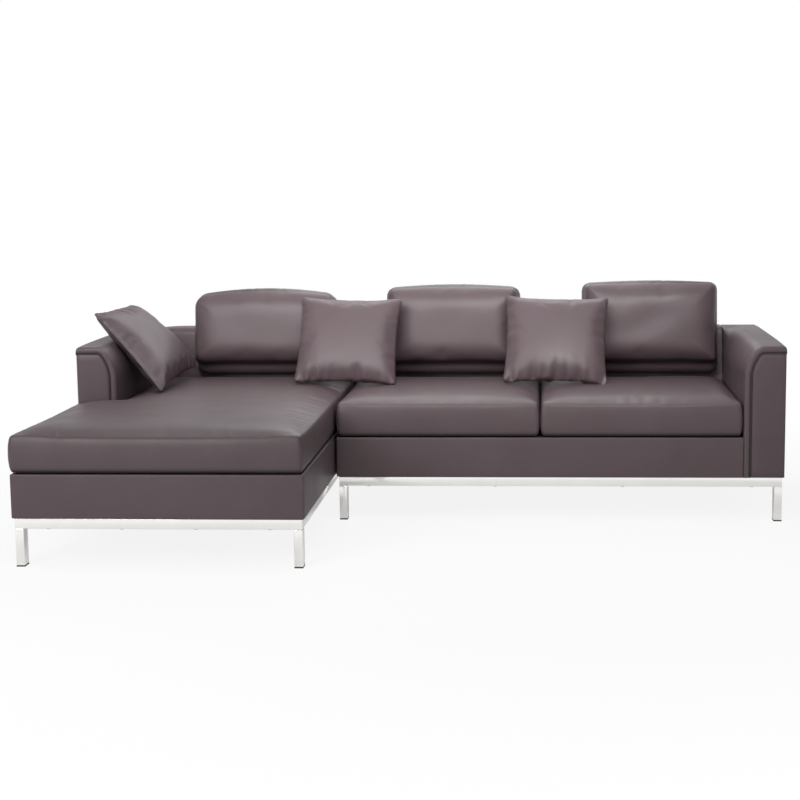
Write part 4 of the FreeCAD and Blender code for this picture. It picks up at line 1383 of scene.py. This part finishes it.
def back_cushion_piece(node, body, seed):
    """Loose back cushion: flat behind, crowned front, arched top, seams round front and back.

    It is worked out lying on its back, x across, y up its height and z its thickness, and then
    stood on the seat: place = foot + x X + y U + z F, U up the rake and F out of it.
    """
    wanted = bpy.context.scene.sofa_back
    height, arch, corner = BACK_SHAPES[node]
    low, high = node_box(node)
    width = high[0] - low[0]
    centre = (high[0] + low[0]) / 2
    corners = plan_outline((-width / 2, 0.0), (width / 2, height))
    inner = inset_outline(corners, wanted.bulge)
    x, y, layer, sheet, faces = lattice(inner, wanted.cell, EDGE_CELL, BAND_ROWS)
    distance = outline_distance(x, y, inner)
    out_x, out_y = side_ways(x, y, inner)
    bulge = side_bulge(wanted.bulge, layer, sheet)
    plain_x = x.copy()
    x, y = round_corners(x, y, inner, corner)
    x = x + out_x * bulge
    y = y + out_y * bulge
    y = y + arch * (1 - (2 * plain_x / width) ** 2) * np.clip(y / height, 0, 1) ** 2
    y = y + wanted.curl * layer ** 4 * (1 - np.clip(y / height, 0, 1)) ** 2
    rise = crown(distance, wanted.crown, wanted.crown_run, power=2.5)
    z = np.where(sheet == 1, wanted.side + rise, np.where(sheet == 0, 0.0, wanted.side * layer))
    soft = smooth_noise(x, y, seed, 0.22) * 0.0025 * np.clip(distance / 0.05, 0, 1)
    z = z + np.where(sheet == 1, soft, 0)
    local = np.stack([x, y, z], 1)
    faces = face_out(local, faces)
    held = np.where(sheet == 0, 1.0, np.where(distance < 0.001, 0.35, 0.0))
    local = stuff(local, faces, held, wanted.swell, **BACK_STUFFING)
    local[:, 2] = np.maximum(local[:, 2], 0)
    up = np.array([0, math.sin(RAKE), math.cos(RAKE)])
    out = np.array([0, -math.cos(RAKE), math.sin(RAKE)])
    foot_z = SEAT_TOP + SMALL_GAP
    foot = np.array([centre, back_face(foot_z) - SMALL_GAP, foot_z])
    points = foot + local[:, :1] * np.array([1.0, 0, 0]) + local[:, 1:2] * up + local[:, 2:] * out
    faces = face_out(points, faces)
    front_seam = np.where(sheet == 1, bell(distance, SEAM_REACH), bell(1 - layer, SEAM_LAYER))
    back_seam = bell(layer, SEAM_LAYER) * (sheet == 0.5)
    nearness = np.maximum(np.where(sheet == 0, 0, front_seam), back_seam)
    points = seam_dip(points, faces, nearness, 0.002)
    piece = make_piece(node + "_leather", points, [faces], leather(), sharp=False)
    # The seam values are painted shade: the leather darkens along the front and rear seams.
    set_values(piece, "seam", nearness * SEAM_PAINTED_SHADE)
    subdivide(piece)
    return dress(piece, body, "leather", node)


def gathers(x, y, u, v, seed):
    """Puckers that run in from a pillow's seam: waves along each side that die away inwards.

    A side's waves have the height GATHER_HEIGHT * e^(-d / GATHER_REACH) at a distance d from it.
    """
    wanted = bpy.context.scene.sofa_scatter
    from_side = (1 - np.abs(u)) * wanted.width / 2
    from_end = (1 - np.abs(v)) * wanted.height / 2
    along_side = smooth_noise(y + 3 * np.sign(u), y * 0, seed, GATHER_WAVE)
    along_end = smooth_noise(x + 3 * np.sign(v), x * 0, seed + 40, GATHER_WAVE)
    low_end = np.where(v < 0, 2.2, 0.8)
    side_height = np.exp(-from_side / GATHER_REACH) * np.clip(from_side / 0.008, 0, 1)
    end_height = np.exp(-from_end / GATHER_REACH) * np.clip(from_end / 0.008, 0, 1) * low_end
    return GATHER_HEIGHT * (along_side * side_height + along_end * end_height)


def pillow_form(seed):
    """Square pillow lying flat, blown up from two sheets sewn together at their rim.

    Before it is blown up, its sides are drawn in by d * (1 - u^2) between the corners and its
    faces stand half * ((1 - u^2) * (1 - v^2))^0.52 * (1 - 0.2 v) from the seam.
    """
    wanted = bpy.context.scene.sofa_scatter
    width, height, half = wanted.width, wanted.height, wanted.half
    corners = plan_outline((-width / 2, -height / 2), (width / 2, height / 2))
    x, y, layer, sheet, faces = lattice(corners, wanted.cell, 0.004, 2)
    distance = outline_distance(x, y, corners)
    u, v = 2 * x / width, 2 * y / height
    x = x * (1 - 0.030 * (1 - v ** 2) * np.abs(u) ** 1.5)
    y = y * (1 - 0.030 * (1 - u ** 2) * np.abs(v) ** 1.5)
    x, y = round_corners(x, y, corners, 0.018)
    dome = ((1 - u ** 2).clip(0) * (1 - v ** 2).clip(0)) ** 0.52 * (1 - 0.2 * v)
    lift = 0.001 + (half - 0.001) * dome
    z = np.where(sheet == 1, lift, np.where(sheet == 0, -lift, 0))
    z = z + np.sign(z) * gathers(x, y, u, v, seed)
    points = np.stack([x, y, z], 1)
    faces = face_out(points, faces)
    held = np.zeros(len(points))
    blown = stuff(points, faces, held, PILLOW_SWELL, **PILLOW_STUFFING)
    blown[:, :2] = points[:, :2] + (blown - points)[:, :2] * PILLOW_SPREAD
    blown -= (blown.max(0) + blown.min(0)) / 2
    target = np.array([width, height])
    scale = target / (blown.max(0) - blown.min(0))[:2]
    blown[:, :2] *= scale
    blown[:, 2] *= min(1.0, (half + 0.004) / np.abs(blown[:, 2]).max())
    seam = np.where(sheet == 0.5, 1.0, bell(distance, SEAM_REACH))
    return blown, faces, seam


def sagging(local):
    """Sag of the turned pillow: its rear top corner sinks and its front foot slips forward.

    A corner's move fades by ((1 + u) / 2)^2 * ((1 + v) / 2)^2 towards the others.
    """
    wanted = bpy.context.scene.sofa_scatter
    u = (local[:, 0] / wanted.width + 0.5).clip(0, 1)
    v = (local[:, 1] / wanted.height + 0.5).clip(0, 1)
    rear_top = (u * v) ** 2
    front_foot = ((1 - u) * (1 - v)) ** 2
    return rear_top[:, None] * REAR_CORNER_SINK + front_foot[:, None] * FRONT_FOOT_SLIP


def clear_of_arm(points, arm, gap):
    """Dent a cushion where it leans on an arm: points nearer than the gap move out along the arm's
    outline's normal."""
    x, z, seam_x, seam_z = arm_section(arm)
    way = np.stack([np.gradient(x), np.gradient(z)], 1)
    way /= np.maximum(np.linalg.norm(way, axis=1, keepdims=True), MERGE)
    normal = np.stack([way[:, 1], -way[:, 0]], 1) * -arm.side
    spots = points[:, [0, 2]]
    offset = spots[:, None] - np.stack([x, z], 1)[None]
    nearest = np.linalg.norm(offset, axis=-1).argmin(1)
    out = (offset[np.arange(len(points)), nearest] * normal[nearest]).sum(1)
    beside = points[:, 1] > arm.front - gap
    push = np.where(beside & (out < gap) & (out > -0.08), gap - out, 0)
    points = points.copy()
    points[:, [0, 2]] += normal[nearest] * push[:, None]
    return points


def scatter_piece(node, body, seed):
    """Scatter cushion set near its node's centre, on its own three ways."""
    local, faces, seam = pillow_form(seed)
    centre, across, up, out = scatter_frame(node)
    points = centre + local[:, :1] * across + local[:, 1:2] * up + local[:, 2:] * out
    if node == "arm_scatter_cushion":
        points = points + sagging(local)
    faces = face_out(points, faces)
    points = seam_dip(points, faces, seam, 0.001)
    if node == "arm_scatter_cushion":
        points = clear_of_arm(points, Arm("left", -1), PILLOW_GAP)
    points[:, 2] = np.maximum(points[:, 2], SEAT_TOP + PILLOW_GAP)
    piece = make_piece(node + "_leather", points, [faces], leather(), sharp=False)
    # The seam values are painted shade: the leather darkens along the rim seam.
    set_values(piece, "seam", seam * 0.35)
    subdivide(piece)
    return dress(piece, body, "leather", node)


def scatter_frame(node):
    """Centre of a scatter cushion and its three ways: across, up and out of its face."""
    points = node_points(node)
    centre = (points.min(0) + points.max(0)) / 2
    if node == "arm_scatter_cushion":
        up = ARM_PILLOW_UP / np.linalg.norm(ARM_PILLOW_UP)
        along = ARM_PILLOW_ALONG - up * (ARM_PILLOW_ALONG @ up)
        along /= np.linalg.norm(along)
        return centre + ARM_PILLOW_SHIFT, along, up, np.cross(along, up)
    turn = PILLOW_TURN
    rise = np.array([0, math.sin(PILLOW_LEAN), math.cos(PILLOW_LEAN)])
    right = np.array([1.0, 0, 0])
    across = right * math.cos(turn) - rise * math.sin(turn)
    up = rise * math.cos(turn) + right * math.sin(turn)
    return centre + PILLOW_SHIFT, across, up, np.cross(across, up)


# Stage

def studio_floor(wanted):
    """Wide pale floor that fades to white away from the sofa."""
    reach = 40.0
    points = np.array([[-reach, -reach, 0], [reach, -reach, 0], [reach, reach, 0], [-reach, reach, 0]])
    points[:, 2] = -0.0005
    material, tree = new_material("studio_floor")
    place = object_place(tree)
    length = add_node(tree, "ShaderNodeVectorMath", operation="LENGTH")
    tree.links.new(place, length.inputs[0])
    fade = ramp(tree, length.outputs["Value"], *FLOOR_FADE)
    path = tree.nodes.new("ShaderNodeLightPath")
    straight = math_node(tree, "MAXIMUM", path.outputs["Is Camera Ray"], path.outputs["Is Transmission Ray"])
    straight = math_node(tree, "MULTIPLY", ramp(tree, fade, 0.0, 1.0, wanted.floor_glow, 1.0), straight)
    in_gloss = math_node(tree, "MULTIPLY", ramp(tree, fade, 0.0, 1.0, wanted.floor_gloss, 1.0),
                         path.outputs["Is Glossy Ray"])
    share = math_node(tree, "ADD", straight, in_gloss)
    matt = add_node(tree, "ShaderNodeBsdfPrincipled", {
        "Base Color": (*wanted.floor, 1.0), "Roughness": 0.9, "Specular IOR Level": 0.0})
    white = add_node(tree, "ShaderNodeEmission", {"Color": (1, 1, 1, 1), "Strength": 1.0})
    mix = tree.nodes.new("ShaderNodeMixShader")
    tree.links.new(share, mix.inputs[0])
    tree.links.new(matt.outputs[0], mix.inputs[1])
    tree.links.new(white.outputs[0], mix.inputs[2])
    finish_material(tree, mix)
    floor = make_piece("studio_floor", points, [np.array([[0, 1, 2, 3]])], material)
    floor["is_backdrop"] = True
    return floor


def studio_world(wanted):
    """White room: plain white to the camera, dimmer in gloss and as light."""
    world = bpy.data.worlds.new("studio_room")
    bpy.context.scene.world = world
    world.use_nodes = True
    tree = world.node_tree
    tree.nodes.clear()
    path = tree.nodes.new("ShaderNodeLightPath")
    seen = math_node(tree, "MAXIMUM", path.outputs["Is Camera Ray"], path.outputs["Is Transmission Ray"])
    sideways = tree.nodes.new("ShaderNodeSeparateXYZ")
    tree.links.new(tree.nodes.new("ShaderNodeTexCoord").outputs["Generated"], sideways.inputs[0])
    across = math_node(tree, "ABSOLUTE", sideways.outputs["X"], 0.0)
    walls = ramp(tree, across, 0.5, 0.9, wanted.gloss, wanted.gloss * 0.3)
    glossy = math_node(tree, "MULTIPLY", path.outputs["Is Glossy Ray"], walls)
    diffuse = ramp(tree, path.outputs["Is Glossy Ray"], 0.0, 1.0, wanted.room, 0.0)
    strength = math_node(tree, "MAXIMUM", seen, math_node(tree, "ADD", glossy, diffuse))
    background = add_node(tree, "ShaderNodeBackground", {"Color": (1, 1, 1, 1)})
    tree.links.new(strength, background.inputs["Strength"])
    output = tree.nodes.new("ShaderNodeOutputWorld")
    tree.links.new(background.outputs[0], output.inputs["Surface"])


def soft_lamp(name, place, target, size, power):
    """Square area lamp that looks at a target."""
    data = bpy.data.lights.new(name, "AREA")
    data.size = size
    data.energy = power
    lamp = bpy.data.objects.new(name, data)
    lamp.visible_camera = False
    bpy.context.scene.collection.objects.link(lamp)
    way = Vector(target) - Vector(place)
    lamp.matrix_world = Matrix.Translation(place) @ way.to_track_quat("-Z", "Y").to_matrix().to_4x4()
    return lamp


def studio_camera(wanted):
    """Camera at the photograph's place, with its yaw, pitch and roll."""
    yaw, pitch, roll = wanted.yaw, wanted.pitch, wanted.roll
    forward = Vector((-math.sin(yaw) * math.cos(pitch), math.cos(yaw) * math.cos(pitch), -math.sin(pitch)))
    right = Vector((math.cos(yaw), math.sin(yaw), 0))
    up = right.cross(forward)
    tilted_right = right * math.cos(roll) + up * math.sin(roll)
    tilted_up = up * math.cos(roll) - right * math.sin(roll)
    data = bpy.data.cameras.new("photograph_camera")
    data.sensor_width = 36.0
    data.lens = wanted.lens
    data.shift_x = wanted.shift
    data.clip_end = 200.0
    camera = bpy.data.objects.new("photograph_camera", data)
    bpy.context.scene.collection.objects.link(camera)
    turn = Matrix((tilted_right, tilted_up, -forward)).transposed().to_4x4()
    camera.matrix_world = Matrix.Translation(Vector(wanted.place)) @ turn
    bpy.context.scene.camera = camera


# Operators

class SOFA_OT_metal(bpy.types.Operator):
    """Make the chromed rails and legs"""
    bl_idname = "sofa.metal"
    bl_label = "Chromed frames"

    def execute(self, context):
        for module in ("chaise", "sofa"):
            for side, axis in (("front", 0), ("back", 0), ("left", 1), ("right", 1)):
                metal_piece(module + "_" + side + "_metal_rail", axis)
            leg_piece(module)
        return {"FINISHED"}


class SOFA_OT_base(bpy.types.Operator):
    """Make the padded panels of the base, the dust cloths, bands and deck felts"""
    bl_idname = "sofa.base"
    bl_label = "Upholstered bases"

    def execute(self, context):
        for node in ("chaise_front_panel", "chaise_outer_panel", "chaise_inner_panel",
                     "chaise_rear_panel", "sofa_front_panel", "sofa_inner_panel", "sofa_rear_panel"):
            panel_piece(node)
        for module in ("chaise", "sofa"):
            dust_cloth_piece(module)
            webbing_piece(module)
            deck_piece(module)
        return {"FINISHED"}


class SOFA_OT_arms(bpy.types.Operator):
    """Make the arms with their front panels and piping"""
    bl_idname = "sofa.arms"
    bl_label = "Arms"

    def execute(self, context):
        for arm in (Arm("left", -1), Arm("right", 1)):
            arm_cover_piece(arm)
            front_panel_piece(arm)
            welt_piece(arm)
        return {"FINISHED"}


class SOFA_OT_backs(bpy.types.Operator):
    """Make the padded backs"""
    bl_idname = "sofa.backs"
    bl_label = "Backs"

    def execute(self, context):
        for module in ("chaise", "sofa"):
            back_piece(module)
        return {"FINISHED"}


class SOFA_OT_seat_cushions(bpy.types.Operator):
    """Make the seat cushions and their foam cores"""
    bl_idname = "sofa.seat_cushions"
    bl_label = "Seat cushions"

    def execute(self, context):
        for seed, name in enumerate(("chaise", "middle", "right")):
            seat_piece(name, seed + 1)
            core_piece(name)
        return {"FINISHED"}


class SOFA_OT_back_cushions(bpy.types.Operator):
    """Make the loose back cushions"""
    bl_idname = "sofa.back_cushions"
    bl_label = "Back cushions"

    def execute(self, context):
        for seed, name in enumerate(("left", "middle", "right")):
            back_cushion_piece(name + "_back_cushion", name + "_back", seed + 11)
        return {"FINISHED"}


class SOFA_OT_scatter_cushions(bpy.types.Operator):
    """Make the scatter cushions"""
    bl_idname = "sofa.scatter_cushions"
    bl_label = "Scatter cushions"

    def execute(self, context):
        for seed, name in enumerate(("arm", "centre", "right")):
            scatter_piece(name + "_scatter_cushion", name + "_scatter", seed + 21)
        return {"FINISHED"}


class SOFA_OT_inner_parts(bpy.types.Operator):
    """Give the boards, screws, plates and glides their finish"""
    bl_idname = "sofa.inner_parts"
    bl_label = "Inner parts"

    def execute(self, context):
        finishes = {"glides": glide_plastic, "screws": zinc_steel, "bolts": zinc_steel,
                    "brackets": zinc_steel, "boards": wood, "slats": wood, "frame": wood}
        for name, node in frame["nodes"].items():
            if node.hide_render:
                continue
            finish = finishes[name.split("_")[-1]]
            node.data.materials.clear()
            node.data.materials.append(finish())
        return {"FINISHED"}


class SOFA_OT_stage(bpy.types.Operator):
    """Set the floor, the lamps and the camera"""
    bl_idname = "sofa.stage"
    bl_label = "Studio"

    def execute(self, context):
        wanted = context.scene.sofa_studio
        context.scene.view_settings.view_transform = "Standard"
        studio_floor(wanted)
        studio_world(wanted)
        soft_lamp("top_lamp", (0.2, -0.6, 3.6), (0.0, 0.1, 0.4), 3.2, wanted.top_power)
        for x in NEAR_LAMP_PLACES:
            lamp = soft_lamp("near_lamp", (x, -1.2, 1.9), (x, 0.6, 0.74), 0.7, wanted.near_power)
            lamp.data.spread = NEAR_LAMP_SPREAD
        soft_lamp("key_lamp", (-2.6, -4.6, 2.6), (0.0, 0.0, 0.4), 2.2, wanted.key_power)
        soft_lamp("side_lamp", (-4.0, -0.5, 2.0), (0.0, 0.0, 0.4), 2.0, wanted.side_power)
        soft_lamp("rear_lamp", (0.0, 1.8, 2.4), (0.0, 0.4, 0.5), 2.0, wanted.rear_power)
        studio_camera(wanted)
        return {"FINISHED"}


class SOFA_PT_sidebar(bpy.types.Panel):
    """Sofa tools in the sidebar"""
    bl_label = "Corner sofa"
    bl_space_type = "VIEW_3D"
    bl_region_type = "UI"
    bl_category = "Sofa"

    def draw(self, context):
        for operator in OPERATORS:
            self.layout.operator(operator.bl_idname)
        for name in SETTINGS:
            group = getattr(context.scene, name)
            for key in group.bl_rna.properties.keys():
                if key not in ("rna_type", "name"):
                    self.layout.prop(group, key)


SETTINGS = {
    "sofa_leather": LeatherSettings,
    "sofa_metal": MetalSettings,
    "sofa_seat": SeatSettings,
    "sofa_back": BackSettings,
    "sofa_scatter": ScatterSettings,
    "sofa_studio": StudioSettings,
}
OPERATORS = (SOFA_OT_stage, SOFA_OT_metal, SOFA_OT_base, SOFA_OT_arms, SOFA_OT_backs,
             SOFA_OT_seat_cushions, SOFA_OT_back_cushions, SOFA_OT_scatter_cushions,
             SOFA_OT_inner_parts)


def register():
    """Add the sofa's settings, operators and panel to Blender."""
    for kind in (*SETTINGS.values(), *OPERATORS, SOFA_PT_sidebar):
        bpy.utils.register_class(kind)
    for name, kind in SETTINGS.items():
        setattr(bpy.types.Scene, name, PointerProperty(type=kind))


def unregister():
    """Take the settings, operators and panel out again."""
    for name in SETTINGS:
        delattr(bpy.types.Scene, name)
    for kind in reversed((*SETTINGS.values(), *OPERATORS, SOFA_PT_sidebar)):
        bpy.utils.unregister_class(kind)


def main():
    """Build the sofa."""
    register()
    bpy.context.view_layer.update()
    for operator in OPERATORS:
        group, name = operator.bl_idname.split(".")
        getattr(getattr(bpy.ops, group), name)()


if __name__ == "__main__":
    main()
